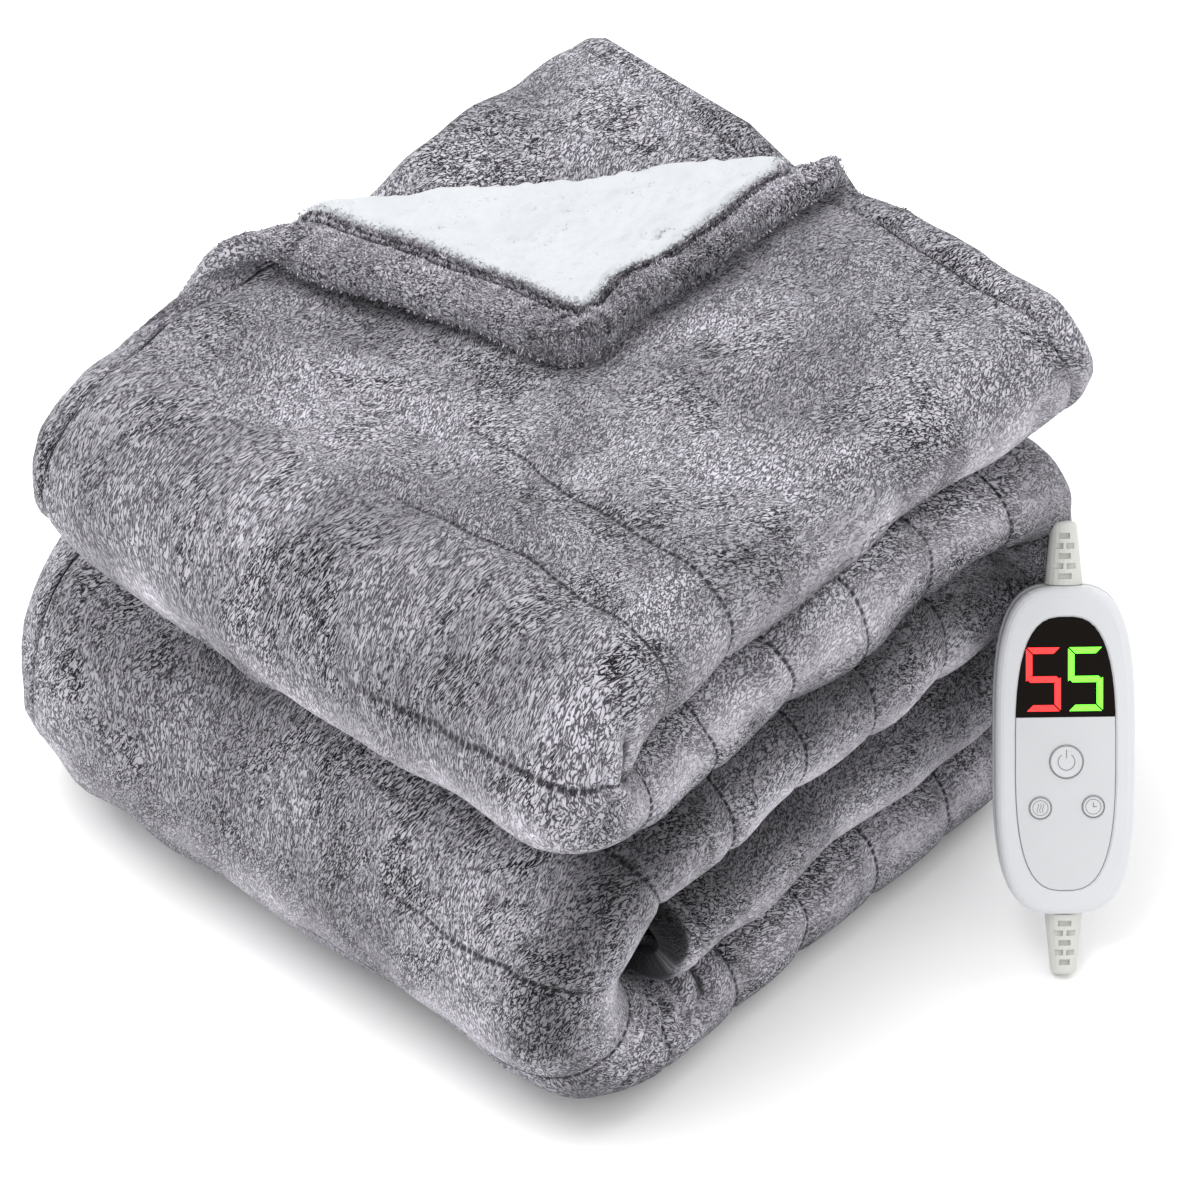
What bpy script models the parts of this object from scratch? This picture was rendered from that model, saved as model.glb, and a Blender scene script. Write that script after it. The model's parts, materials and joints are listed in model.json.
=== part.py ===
"""Electric heated blanket, folded into a stack, with its hand control.

Metres, +Z up. The origin lies on the surface, under the middle of the whole box. The blanket is
one cloth: folded in three across its width, then laid back and forth in five passes, with one
corner turned back. In the flat cloth u runs across its width and v along its length, both from
the corner that is turned back, and t rises from its middle to its plush face.
"""

import math

import bmesh
import bpy
from mathutils import Matrix, Vector

# The stack
STACK_WIDTH = 0.348        # along X
STACK_DEPTH = 0.398        # along Y
PASS_HEIGHT = 0.0642       # one pass: three plies and the air between them
PLY_PITCH = 0.0212
SHEET_THICKNESS = 0.0170

# The cloth's own details
HEM_WIDTH = 0.022
HEM_RISE = 0.0024          # the turned hem stands this much proud on each face
STITCH_DEPTH = 0.0020
STITCH_REACH = 0.0040
HEM_LINES = (0.0, 0.006, 0.017, HEM_WIDTH, 0.031)
EDGE_FRACTION = 0.55       # the cloth's edge is this share of its thickness
CHANNEL_PITCH = 0.054      # between the stitched lines of the heating channels
CHANNEL_RELIEF = 0.0016
PLAIN_START = 0.24         # no stitched lines on the first stretch of the length
RELIEF_FADE = 0.030        # the channels end this far inside the hem
END_SHORT = 0.001          # the inner end stops this far short of the rim's middle
COLUMN_COUNTS = (5, 6, 2, 4, 2)  # on the top ply, rim, bottom ply, tuck and middle ply

# The corner that is turned back
CREASE_ACROSS = 0.208      # where the crease meets the end hem, from the corner
CREASE_ALONG = 0.298       # where the crease meets the side hem, from the corner
CREASE_RADIUS = 0.0110
CREASE_STEPS = 6           # flat strips round the crease's bend
FLEECE_FROM_STEP = 2       # the fleece starts at this strip
CORNER_SHEAR = 0.48        # the turned corner slides along its crease as it is pulled over
FLEECE_THICKNESS = 0.0020
CORNER_SLACK = 0.18        # and lies a little gathered
CORNER_LOFT = 0.016        # its side end stands off the cloth below
CLEARANCE = 0.0003
CUT_TOLERANCE = 0.0004
ROW_SPACING_MIN = 0.0035
END_ROW = 0.010            # no other row this close to the inner end

# Unevenness of the stack
SWELL = 0.016              # of the height
LEAN_SIDE = 0.006
BULGE_FRONT = 0.006
WEIGHT_PRESS = 0.058       # lower passes lie thinner, by this share of the height
PRESS_RATE = 2.2
CORNER_LIFT = 0.034        # the folds that the turned corner uncovers stand higher
CORNER_LIFT_REACH = 0.085
LOWER_SPREAD = 0.024       # the lower bundle reaches further out to the left
LOWER_TOP = 0.186
LOWER_BLEND = 0.025
LIFT_GROWTH = 1.5          # the uncovered folds stand higher by this power of the height
# rate and start of each of two waves: the first rises and falls as a sine, the second as a cosine
SWELL_WAVES = ((7.5, 1.1), (6.3, -0.5))
LEAN_WAVES = ((11.0, -1.2), (5.0, 0.4))
BULGE_WAVES = ((14.0, 0.6), (6.0, -0.3))

# The hand control
HANDSET_LENGTH = 0.165
HANDSET_WIDTH = 0.070
HANDSET_ROUNDNESS = 3.4    # exponent of the outline
OUTLINE_SIDES = 48
BACK_DEPTH = 0.0125
FRONT_DEPTH = 0.0110
SHELL_BEVEL = 0.0042
SEAM_INSET = 0.0003        # the front shell is this much smaller at the seam
BACK_ROUND_ACROSS = 0.009
BACK_ROUND_DEEP = 0.008
ROUND_STEPS = 4
RIM_CHAMFER = 0.0009
PANEL_WIDTH = 0.0494
PANEL_LENGTH = 0.1366
PANEL_ROUNDNESS = 2.9
PANEL_CENTRE = -0.0013     # along the handset, from its middle
PANEL_SINK = 0.0004        # the panel lies this far below the rim
PANEL_EDGE = 0.0003        # its edge is broken this far
WINDOW_SINK = 0.0001
POCKET_DEPTH = 0.0034
WINDOW_EDGE = 0.0175       # lower edge of the display, from the handset's middle
BUTTON_TRAVEL = 0.0006
BUTTON_PROUD = 0.0007
BUTTON_SIDES = 28
BUTTON_EDGE = 0.0004
BUTTON_DISH = 0.0003       # the face is dished this deep, inside this share of the radius
BUTTON_DISH_RIM = 0.80
BUTTON_DISH_FLOOR = 0.70
BUTTON_DEPTH = POCKET_DEPTH - PANEL_SINK + BUTTON_PROUD - BUTTON_TRAVEL - CLEARANCE
RELIEF_LENGTH = 0.0310
RELIEF_BASE = 0.0094       # half width at the housing
RELIEF_TIP = 0.0064
RELIEF_FLATNESS = 0.80     # thickness against width
SLOT_ROWS = 5
SLOT_HEIGHT = 0.0028
SLOT_DEPTH = 0.0022
SLOT_FIRST = 0.10          # the rows of slots start and span these shares of the sleeve's length
SLOT_SPAN = 0.80
SLOT_PAIR = ((-0.62, -0.10), (0.10, 0.62))  # across, as shares of the sleeve's half width there
SLOT_SINGLE = ((-0.36, 0.36),)
SLEEVE_SECTIONS = (
    # share of the length, share of the way from the tip's width to the base's; past 0 it rounds off
    (0.0, 1.0),
    (0.5, 0.5),
    (0.86, 0.14),
    (0.94, 0.05),
    (0.985, -0.30),
    (1.0, -1.10),
)
SLEEVE_SINK = 0.0001       # the sleeve's base lies this far inside the housing's end

HANDSET_TURN = math.radians(43.0)
HANDSET_LEAN = math.radians(34.0)
HANDSET_X = 0.2175         # middle of the housing's back, before the part is centred
HANDSET_Y = 0.1280

FINISHES = {
    # colour, roughness
    "plush": ((0.235, 0.228, 0.262), 0.90),
    "fleece": ((0.86, 0.88, 0.90), 0.95),
    "shell": ((0.78, 0.80, 0.82), 0.42),
    "panel": ((0.70, 0.71, 0.72), 0.48),
    "window": ((0.012, 0.007, 0.005), 0.10),
    "button": ((0.72, 0.73, 0.74), 0.45),
    "sleeve": ((0.76, 0.76, 0.72), 0.50),
}
# Edges sharper than these, in degrees, stay sharp
SOFT_EDGES = 50
FLEECE_EDGES = 60
HARD_EDGES = 35
SLEEVE_EDGES = 40

BUTTONS = (
    # node, across, along, radius
    ("button_power", 0.0004, -0.0050, 0.0083),
    ("button_heat", -0.0125, -0.0280, 0.0055),
    ("button_timer", 0.0137, -0.0276, 0.0055),
)

HALF_PASS = PLY_PITCH + SHEET_THICKNESS / 2
RIGHT = STACK_WIDTH / 2
LEFT = -STACK_WIDTH / 2
FRONT = -STACK_DEPTH / 2
BACK = STACK_DEPTH / 2
SHORT_TURN = PASS_HEIGHT / 2
LONG_TURN = PASS_HEIGHT
FLOOR_LIFT = HALF_PASS - PASS_HEIGHT / 2
FLAT_BELOW = 0.0022        # cloth lower than this is pressed flat on the surface
TUCKED_END = 0.014         # the last pass reaches this far into the long turn

# Across the width: top ply, right rim, bottom ply, left rim, middle ply
RIM_CENTRE = RIGHT - HALF_PASS
TUCK_CENTRE = LEFT + PLY_PITCH / 2 + SHEET_THICKNESS / 2
TOP_PLY_END = RIM_CENTRE - LEFT
RIM_END = TOP_PLY_END + math.pi * PLY_PITCH
BOTTOM_PLY_END = RIM_END + RIM_CENTRE - TUCK_CENTRE
TUCK_END = BOTTOM_PLY_END + math.pi * PLY_PITCH / 2
CLOTH_WIDTH = TUCK_END + RIM_CENTRE - TUCK_CENTRE - END_SHORT

# Along the length: straight runs and half turns, top pass first
SHORT_FRONT = FRONT + SHORT_TURN + HALF_PASS
LONG_FRONT = FRONT + LONG_TURN + HALF_PASS
BACK_TURN = BACK - SHORT_TURN - HALF_PASS


def level(number):
    """Height of the middle of a pass, counted from the surface up."""
    return PASS_HEIGHT * (number - 0.5) + FLOOR_LIFT


RUNS = (
    # kind, start or centre along Y, height, radius, way: +1 to the back or up, -1 to the front or down
    ("straight", BACK, level(5), BACK - SHORT_FRONT, -1),
    ("turn_front", SHORT_FRONT, (level(5) + level(4)) / 2, SHORT_TURN, -1),
    ("straight", SHORT_FRONT, level(4), BACK_TURN - SHORT_FRONT, 1),
    ("turn_back", BACK_TURN, (level(4) + level(3)) / 2, SHORT_TURN, -1),
    ("straight", BACK_TURN, level(3), BACK_TURN - LONG_FRONT, -1),
    ("turn_front", LONG_FRONT, (level(3) + level(1)) / 2, LONG_TURN, -1),
    ("straight", LONG_FRONT, level(1), BACK_TURN - LONG_FRONT, 1),
    ("turn_back", BACK_TURN, (level(1) + level(2)) / 2, SHORT_TURN, 1),
    ("straight", BACK_TURN, level(2), BACK_TURN - LONG_FRONT + TUCKED_END, -1),
)


def run_length(run):
    kind, _, _, reach, _ = run
    return reach if kind == "straight" else math.pi * reach


CLOTH_LENGTH = sum(run_length(run) for run in RUNS)
CREASE_SCALE = math.hypot(1 / CREASE_ACROSS, 1 / CREASE_ALONG)


def clear_scene():
    for item in list(bpy.data.objects):
        bpy.data.objects.remove(item, do_unlink=True)


def smoothstep(low, high, value):
    share = min(1.0, max(0.0, (value - low) / (high - low)))
    return share * share * (3.0 - 2.0 * share)


def fold_across(u, t):
    """Place across X, and height over the middle of the pass, of a point t above the cloth's middle."""
    if u <= TOP_PLY_END:
        return LEFT + u, PLY_PITCH + t
    if u <= RIM_END:
        angle = (u - TOP_PLY_END) / PLY_PITCH
        radius = PLY_PITCH + t
        return RIM_CENTRE + radius * math.sin(angle), radius * math.cos(angle)
    if u <= BOTTOM_PLY_END:
        return RIM_CENTRE - (u - RIM_END), -PLY_PITCH - t
    if u <= TUCK_END:
        bend = PLY_PITCH / 2
        angle = (u - BOTTOM_PLY_END) / bend
        radius = bend + t
        return TUCK_CENTRE - radius * math.sin(angle), -bend - radius * math.cos(angle)
    return TUCK_CENTRE + (u - TUCK_END), t


def lay_along(v, w):
    """Y and Z of a point at length v and height w over the middle of its pass."""
    for run in RUNS:
        length = run_length(run)
        if v <= length or run is RUNS[-1]:
            break
        v -= length
    kind, start, height, reach, way = run
    if kind == "straight":
        return start + way * v, height - way * w
    angle = v / reach
    sine, cosine = math.sin(angle), math.cos(angle)
    if kind == "turn_front":
        return start - (reach + w) * sine, height + (reach + w) * cosine
    if way < 0:
        return start + (reach - w) * sine, height + (reach - w) * cosine
    return start + (reach + w) * sine, height - (reach + w) * cosine


def past_crease(u, v):
    """Distance of a flat point past the crease, towards the corner."""
    return (1.0 - u / CREASE_ACROSS - v / CREASE_ALONG) / CREASE_SCALE


def crease_bend(step, t):
    """Forward reach and rise of a point t above the cloth at a step round the crease."""
    angle = math.pi * step / CREASE_STEPS
    radius = CREASE_RADIUS - t
    return radius * math.sin(angle), CREASE_RADIUS - radius * math.cos(angle)


def turn_corner(u, v, t):
    """Flat place and height of a point after the corner is turned back."""
    past = past_crease(u, v)
    if past <= 0.0:
        return u, v, t
    away_u = -1.0 / (CREASE_ACROSS * CREASE_SCALE)
    away_v = -1.0 / (CREASE_ALONG * CREASE_SCALE)
    arc = math.pi * CREASE_RADIUS
    if past < arc:
        steps = past / arc * CREASE_STEPS
        step = int(steps)
        near, far = crease_bend(step, t), crease_bend(step + 1, t)
        forward = near[0] + (far[0] - near[0]) * (steps - step)
        rise = near[1] + (far[1] - near[1]) * (steps - step)
        slide = 0.0
    else:
        forward = (arc - past) * (1.0 - CORNER_SLACK)
        rise = 2 * CREASE_RADIUS - t
        slide = CORNER_SHEAR * (past - arc)
    rise += CORNER_LOFT * v / CREASE_ALONG * min(1.0, past / arc)
    foot_u = u - past * away_u
    foot_v = v - past * away_v
    turned_u = foot_u + forward * away_u + slide * away_v
    turned_v = foot_v + forward * away_v - slide * away_u
    return turned_u, turned_v, rise


def waves(size, pair, first, second):
    """Slow unevenness along two directions, by a size at most."""
    (rate, start), (other_rate, other_start) = pair
    return size * math.sin(rate * first + start) * math.cos(other_rate * second + other_start)


def settle(x, y, z):
    """Uneven swelling and leaning of the whole stack, flat on the surface."""
    height = level(5) + HALF_PASS
    up = z / height
    swell = waves(SWELL, SWELL_WAVES, x, y)
    uncovered = smoothstep(0.0, CORNER_LIFT_REACH, past_crease(x - LEFT, BACK - y))
    below = 1.0 - smoothstep(-LOWER_BLEND, LOWER_BLEND, z - LOWER_TOP)
    spread_left = LOWER_SPREAD * smoothstep(0.0, 1.0, x / LEFT) * below
    press = WEIGHT_PRESS * height * (1.0 - math.exp(-PRESS_RATE * up))
    lean = waves(LEAN_SIDE, LEAN_WAVES, z, y)
    bulge = waves(BULGE_FRONT, BULGE_WAVES, z, x)
    settled = (z - press) * (1.0 + swell) + CORNER_LIFT * uncovered * up ** LIFT_GROWTH
    return x + lean * up - spread_left, y + bulge * up, settled


def place(u, v, t):
    """World place of the flat point (u, v), t above the middle of the cloth."""
    turned_u, turned_v, rise = turn_corner(u, v, t)
    x, w = fold_across(turned_u, rise)
    y, z = lay_along(turned_v, w)
    if z < FLAT_BELOW:
        z = 0.0
    return Vector(settle(x, y, z))


def hem_profile(inward):
    """Extra half thickness near an edge, inward from it."""
    if inward <= 0.0:
        return -SHEET_THICKNESS / 2 * (1.0 - EDGE_FRACTION)
    if inward < HEM_WIDTH - STITCH_REACH:
        return HEM_RISE
    return -STITCH_DEPTH if inward < HEM_WIDTH + STITCH_REACH else 0.0


def channel_relief(u, v):
    """Swelling between the stitched lines and dip on them."""
    last_pass = CLOTH_LENGTH - run_length(RUNS[-1])
    if v < PLAIN_START or v > last_pass:
        return 0.0
    fade = smoothstep(HEM_WIDTH, HEM_WIDTH + RELIEF_FADE, u)
    swell = abs(math.sin(math.pi * v / CHANNEL_PITCH))
    return CHANNEL_RELIEF * fade * (2.0 * swell - 1.0)


def half_thickness(u, v):
    return SHEET_THICKNESS / 2 + hem_profile(min(u, v)) + channel_relief(u, v)


def spread(start, end, parts):
    """Values after start up to end, in equal parts."""
    return [start + (end - start) * (step + 1) / parts for step in range(parts)]


def columns_across():
    hem = list(HEM_LINES)
    ends = (hem[-1], TOP_PLY_END, RIM_END, BOTTOM_PLY_END, TUCK_END, CLOTH_WIDTH)
    columns = list(hem)
    for start, end, parts in zip(ends, ends[1:], COLUMN_COUNTS):
        columns += spread(start, end, parts)
    return columns


def rows_along():
    rows = list(HEM_LINES)
    start = 0.0
    half = CHANNEL_PITCH / 2
    for run in RUNS:
        end = start + run_length(run)
        step = half / 2 if run[0] != "straight" and run[3] == SHORT_TURN else half
        first = math.ceil(start / step)
        last = math.floor(end / step)
        rows += [number * step for number in range(first, last + 1)]
        start = end
    rows = sorted(value for value in rows if value < CLOTH_LENGTH - END_ROW)
    rows.append(CLOTH_LENGTH)
    kept = [rows[0]]
    for value in rows[1:]:
        if value - kept[-1] > ROW_SPACING_MIN:
            kept.append(value)
    return kept


def slab(bm, rows, columns, place_pair):
    """Closed slab between two faces of a grid; place_pair gives its upper and lower point."""
    grid = []
    for row in rows:
        line = []
        for column in columns:
            upper, lower = place_pair(column, row)
            line.append((bm.verts.new(upper), bm.verts.new(lower)))
        grid.append(line)
    last_row, last_column = len(rows) - 1, len(columns) - 1
    for i in range(last_row):
        for j in range(last_column):
            a, b = grid[i][j], grid[i][j + 1]
            c, d = grid[i + 1][j + 1], grid[i + 1][j]
            bm.faces.new((a[0], b[0], c[0], d[0]))
            bm.faces.new((d[1], c[1], b[1], a[1]))
    for i in range(last_row):
        for j in (0, last_column):
            a, b = grid[i][j], grid[i + 1][j]
            bm.faces.new((a[0], b[0], b[1], a[1]))
    for j in range(last_column):
        for i in (0, last_row):
            a, b = grid[i][j], grid[i][j + 1]
            bm.faces.new((a[0], b[0], b[1], a[1]))


def cut_on_crease(bm, from_step=0):
    """Edges parallel to the crease where the cloth bends over it; cloth before from_step is cut off."""
    away = Vector((-1.0 / CREASE_ACROSS, -1.0 / CREASE_ALONG, 0.0)).normalized()
    on_crease = Vector((CREASE_ACROSS, 0.0, 0.0))
    for step in range(from_step, CREASE_STEPS + 1):
        past = math.pi * CREASE_RADIUS * step / CREASE_STEPS
        geometry = list(bm.verts) + list(bm.edges) + list(bm.faces)
        trim = step == from_step > 0
        cut = bmesh.ops.bisect_plane(bm, geom=geometry, dist=CUT_TOLERANCE, plane_co=on_crease + away * past,
                                     plane_no=away, clear_inner=trim)
        if trim:
            edges = [item for item in cut["geom_cut"] if isinstance(item, bmesh.types.BMEdge)]
            bmesh.ops.holes_fill(bm, edges=edges, sides=0)


def finish_mesh(bm, name, material, smooth_angle=None, recalculate=True):
    if recalculate:
        bmesh.ops.recalc_face_normals(bm, faces=list(bm.faces))
    mesh = bpy.data.meshes.new(name)
    bm.to_mesh(mesh)
    bm.free()
    mesh.materials.append(material)
    if smooth_angle is not None:
        mesh.shade_smooth()
        mesh.set_sharp_from_angle(angle=math.radians(smooth_angle))
    item = bpy.data.objects.new(name, mesh)
    bpy.context.collection.objects.link(item)
    return item


def make_material(name, colour, roughness):
    material = bpy.data.materials.new(name)
    material.use_nodes = True
    shader = material.node_tree.nodes["Principled BSDF"]
    shader.inputs["Base Color"].default_value = (*colour, 1.0)
    shader.inputs["Roughness"].default_value = roughness
    return material


def build_blanket(material):
    bm = bmesh.new()
    rows, columns = rows_along(), columns_across()

    def flat_pair(u, v):
        half = half_thickness(u, v)
        return (u, v, half), (u, v, -half)

    slab(bm, rows, columns, flat_pair)
    cut_on_crease(bm)
    bmesh.ops.triangulate(bm, faces=list(bm.faces))
    for vert in bm.verts:
        vert.co = place(*vert.co)
    return finish_mesh(bm, "blanket_cloth", material, SOFT_EDGES)


def build_fleece(material):
    """White fleece face of the turned corner, inside the hem."""
    inner = SHEET_THICKNESS / 2 + CLEARANCE
    inset = HEM_LINES[-1]
    rows = [row for row in rows_along() if inset <= row < CREASE_ALONG]
    columns = [column for column in columns_across() if inset <= column < CREASE_ACROSS]

    def flat_pair(u, v):
        return (u, v, -inner), (u, v, -inner - FLEECE_THICKNESS)

    bm = bmesh.new()
    slab(bm, rows, columns, flat_pair)
    cut_on_crease(bm, FLEECE_FROM_STEP)
    bmesh.ops.triangulate(bm, faces=list(bm.faces))
    for vert in bm.verts:
        vert.co = place(*vert.co)
    return finish_mesh(bm, "fleece_lining", material, FLEECE_EDGES)


def outline(half_width, half_length, roundness, count=OUTLINE_SIDES):
    """Points of a rounded oblong, counter-clockwise."""
    points = []
    for step in range(count):
        angle = 2 * math.pi * (step + 0.5) / count
        cosine, sine = math.cos(angle), math.sin(angle)
        x = half_width * math.copysign(abs(cosine) ** (2 / roundness), cosine)
        y = half_length * math.copysign(abs(sine) ** (2 / roundness), sine)
        points.append((x, y))
    return points


def loft(bm, rings):
    """Closed body through rings of equal count; the first and last rings are capped."""
    lines = [[bm.verts.new(point) for point in ring] for ring in rings]
    count = len(lines[0])
    for lower, upper in zip(lines, lines[1:]):
        for step in range(count):
            after = (step + 1) % count
            bm.faces.new((lower[step], lower[after], upper[after], upper[step]))
    bm.faces.new(reversed(lines[0]))
    bm.faces.new(lines[-1])


def housing_ring(inset, height):
    ring = outline(HANDSET_WIDTH / 2 - inset, HANDSET_LENGTH / 2 - inset, HANDSET_ROUNDNESS)
    return [(x, y, height) for x, y in ring]


def pocket_ring(grow, height):
    ring = outline(PANEL_WIDTH / 2 + grow, PANEL_LENGTH / 2 + grow, PANEL_ROUNDNESS)
    return [(x, y + PANEL_CENTRE, height) for x, y in ring]


def build_back(material):
    """Rear shell with a round back."""
    bm = bmesh.new()
    rings = []
    for step in range(ROUND_STEPS + 1):
        angle = math.pi / 2 * step / ROUND_STEPS
        inset = BACK_ROUND_ACROSS * (1 - math.sin(angle))
        height = BACK_ROUND_DEEP * (1 - math.cos(angle))
        rings.append(housing_ring(inset, height))
    rings.append(housing_ring(0.0, BACK_DEPTH))
    loft(bm, rings)
    return finish_mesh(bm, "handset_back", material, HARD_EDGES)


def build_front(material):
    """Front shell with its rounded rim and the pocket for the panel."""
    base = BACK_DEPTH + CLEARANCE
    top = base + FRONT_DEPTH
    bm = bmesh.new()
    rings = [housing_ring(SEAM_INSET, base)]
    for step in range(ROUND_STEPS + 1):
        angle = math.pi / 2 * step / ROUND_STEPS
        inset = SEAM_INSET + SHELL_BEVEL * (1 - math.cos(angle))
        rings.append(housing_ring(inset, top - SHELL_BEVEL * (1 - math.sin(angle))))
    rings.append(pocket_ring(CLEARANCE + RIM_CHAMFER, top))
    rings.append(pocket_ring(CLEARANCE, top - RIM_CHAMFER))
    rings.append(pocket_ring(CLEARANCE, top - POCKET_DEPTH))
    loft(bm, rings)
    return finish_mesh(bm, "handset_front", material, HARD_EDGES)


def face_height():
    """Height of the panel's face over the handset's back."""
    return BACK_DEPTH + CLEARANCE + FRONT_DEPTH - PANEL_SINK


def plate(name, material, low, high, sink=0.0):
    """Part of the inset plate between two places along the handset."""
    top = face_height() - sink
    bottom = BACK_DEPTH + FRONT_DEPTH + 2 * CLEARANCE - POCKET_DEPTH
    bm = bmesh.new()
    loft(bm, [pocket_ring(0.0, bottom), pocket_ring(0.0, top - PANEL_EDGE), pocket_ring(-PANEL_EDGE, top)])
    for place_along, normal in ((low, -1.0), (high, 1.0)):
        geometry = list(bm.verts) + list(bm.edges) + list(bm.faces)
        cut = bmesh.ops.bisect_plane(bm, geom=geometry, dist=1e-6, plane_co=(0, place_along, 0),
                                     plane_no=(0, normal, 0), clear_outer=True)
        edges = [item for item in cut["geom_cut"] if isinstance(item, bmesh.types.BMEdge)]
        if edges:
            bmesh.ops.contextual_create(bm, geom=edges)
    return finish_mesh(bm, name, material, HARD_EDGES)


def turned(rings, sides):
    """Body of round sections: each ring is a radius and a height."""
    bm = bmesh.new()
    loops = []
    for radius, height in rings:
        loops.append([(radius * math.cos(2 * math.pi * step / sides),
                       radius * math.sin(2 * math.pi * step / sides), height) for step in range(sides)])
    loft(bm, loops)
    return bm


def build_button(name, across, along, radius, material):
    """Push button with a dished face; its origin is on its own axis, in the panel's face."""
    rim = BUTTON_PROUD
    base = rim - BUTTON_DEPTH
    rings = [(radius - BUTTON_EDGE, base), (radius, base + BUTTON_EDGE), (radius, rim - BUTTON_EDGE),
             (radius - BUTTON_EDGE, rim), (radius * BUTTON_DISH_RIM, rim),
             (radius * BUTTON_DISH_FLOOR, rim - BUTTON_DISH)]
    item = finish_mesh(turned(rings, BUTTON_SIDES), name, material, HARD_EDGES)
    item.location = (across, along, face_height())
    return item


def button_cutter(across, along, radius):
    hole = radius + CLEARANCE
    bm = turned([(hole, -POCKET_DEPTH), (hole, POCKET_DEPTH)], BUTTON_SIDES)
    cutter = finish_mesh(bm, "button_hole_cutter", bpy.data.materials["panel"])
    cutter.location = (across, along, face_height())
    cutter.hide_render = True
    cutter.display_type = "WIRE"
    return cutter


def add_boolean(item, cutter):
    cut = item.modifiers.new("cut", "BOOLEAN")
    cut.operation = "DIFFERENCE"
    cut.solver = "EXACT"
    cut.object = cutter


def relief_section(height, half_width, count=20):
    return [(half_width * math.cos(2 * math.pi * step / count), height,
             half_width * RELIEF_FLATNESS * math.sin(2 * math.pi * step / count)) for step in range(count)]


def build_strain_relief(name, way, material):
    """Tapered sleeve with a closed round end; way is +1 at the top of the handset, -1 at the bottom."""
    start = HANDSET_LENGTH / 2 - SLEEVE_SINK
    middle = BACK_DEPTH + CLEARANCE / 2
    bm = bmesh.new()
    rings = []
    for share, narrow in SLEEVE_SECTIONS:
        half_width = RELIEF_TIP + (RELIEF_BASE - RELIEF_TIP) * narrow
        rings.append(relief_section(share * RELIEF_LENGTH, half_width))
    loft(bm, rings)
    for vert in bm.verts:
        x, y, z = vert.co
        vert.co = Vector((x * way, way * (start + y), z + middle))
    item = finish_mesh(bm, name, material, SLEEVE_EDGES)
    add_boolean(item, build_slots(name, way, start, middle))
    return item


def build_slots(name, way, start, middle):
    """Boxes that cut the sleeve's windows, in staggered rows on its front and back."""
    bm = bmesh.new()
    pitch = RELIEF_LENGTH * SLOT_SPAN / SLOT_ROWS
    for row in range(SLOT_ROWS):
        along = RELIEF_LENGTH * SLOT_FIRST + pitch * row
        half = RELIEF_BASE + (RELIEF_TIP - RELIEF_BASE) * along / RELIEF_LENGTH
        spans = SLOT_PAIR if row % 2 else SLOT_SINGLE
        for side in (-1, 1):
            for low, high in spans:
                depth = half * RELIEF_FLATNESS
                size = Vector(((high - low) * half, SLOT_HEIGHT, 2 * SLOT_DEPTH))
                centre = Vector(((high + low) / 2 * half, along + SLOT_HEIGHT / 2, side * depth))
                matrix = Matrix.Translation(centre) @ Matrix.Diagonal((*size, 1.0))
                bmesh.ops.create_cube(bm, size=1.0, matrix=matrix)
    for vert in bm.verts:
        x, y, z = vert.co
        vert.co = Vector((x * way, way * (start + y), z + middle))
    cutter = finish_mesh(bm, name + "_slots", bpy.data.materials["sleeve"], recalculate=False)
    cutter.hide_render = True
    cutter.display_type = "WIRE"
    return cutter


def build_handset(materials):
    shell, panel, sleeve = materials["shell"], materials["panel"], materials["sleeve"]
    pieces = [build_back(shell), build_front(shell)]
    low = PANEL_CENTRE - PANEL_LENGTH
    high = PANEL_CENTRE + PANEL_LENGTH
    face = plate("handset_panel", panel, low, WINDOW_EDGE - CLEARANCE)
    window = plate("display_window", materials["window"], WINDOW_EDGE, high, WINDOW_SINK)
    pieces += [face, window]
    for name, across, along, radius in BUTTONS:
        pieces.append(build_button(name, across, along, radius, materials["button"]))
        cutter = button_cutter(across, along, radius)
        add_boolean(face, cutter)
        pieces.append(cutter)
    for name, way in (("strain_relief_upper", 1), ("strain_relief_lower", -1)):
        sleeve_piece = build_strain_relief(name, way, sleeve)
        pieces += [sleeve_piece, sleeve_piece.modifiers["cut"].object]
    frame = bpy.data.objects.new("handset_frame", None)
    bpy.context.collection.objects.link(frame)
    for piece in pieces:
        piece.parent = frame
    frame.rotation_euler = (math.pi / 2 - HANDSET_LEAN, 0.0, HANDSET_TURN)
    frame.location = (HANDSET_X, HANDSET_Y, 0.0)
    return frame


def seen_meshes():
    return [item for item in bpy.data.objects if item.type == "MESH" and not item.hide_render]


def world_corners(items):
    """Lowest and highest corner of the objects, with their modifiers."""
    bpy.context.view_layer.update()
    graph = bpy.context.evaluated_depsgraph_get()
    low, high = Vector((1e9,) * 3), Vector((-1e9,) * 3)
    for item in items:
        evaluated = item.evaluated_get(graph)
        mesh = evaluated.to_mesh()
        for vert in mesh.vertices:
            point = item.matrix_world @ vert.co
            low = Vector(map(min, low, point))
            high = Vector(map(max, high, point))
        evaluated.to_mesh_clear()
    return low, high


def main():
    clear_scene()
    materials = {name: make_material(name, *finish) for name, finish in FINISHES.items()}
    blanket = build_blanket(materials["plush"])
    fleece = build_fleece(materials["fleece"])
    frame = build_handset(materials)
    handset = [item for item in seen_meshes() if item.parent == frame]
    frame.location.z -= world_corners(handset)[0].z
    low, high = world_corners(seen_meshes())
    middle = (low + high) / 2
    for item in (blanket, fleece, frame):
        item.location.x -= middle.x
        item.location.y -= middle.y


main()
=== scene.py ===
"""Electric heated blanket, folded into a stack, with its hand control: soft forms and finishes.

Metres, +Z up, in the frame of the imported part. The blanket is one cloth. Its flat cut has u across
its width and v along its length, both from the corner that is turned back, and t rises from its
middle to its plush face. FoldedCloth carries a flat point to its place in the stack, and every
soft piece is grown from it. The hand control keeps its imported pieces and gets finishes, lit
digits and the marks of its buttons.
"""

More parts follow.
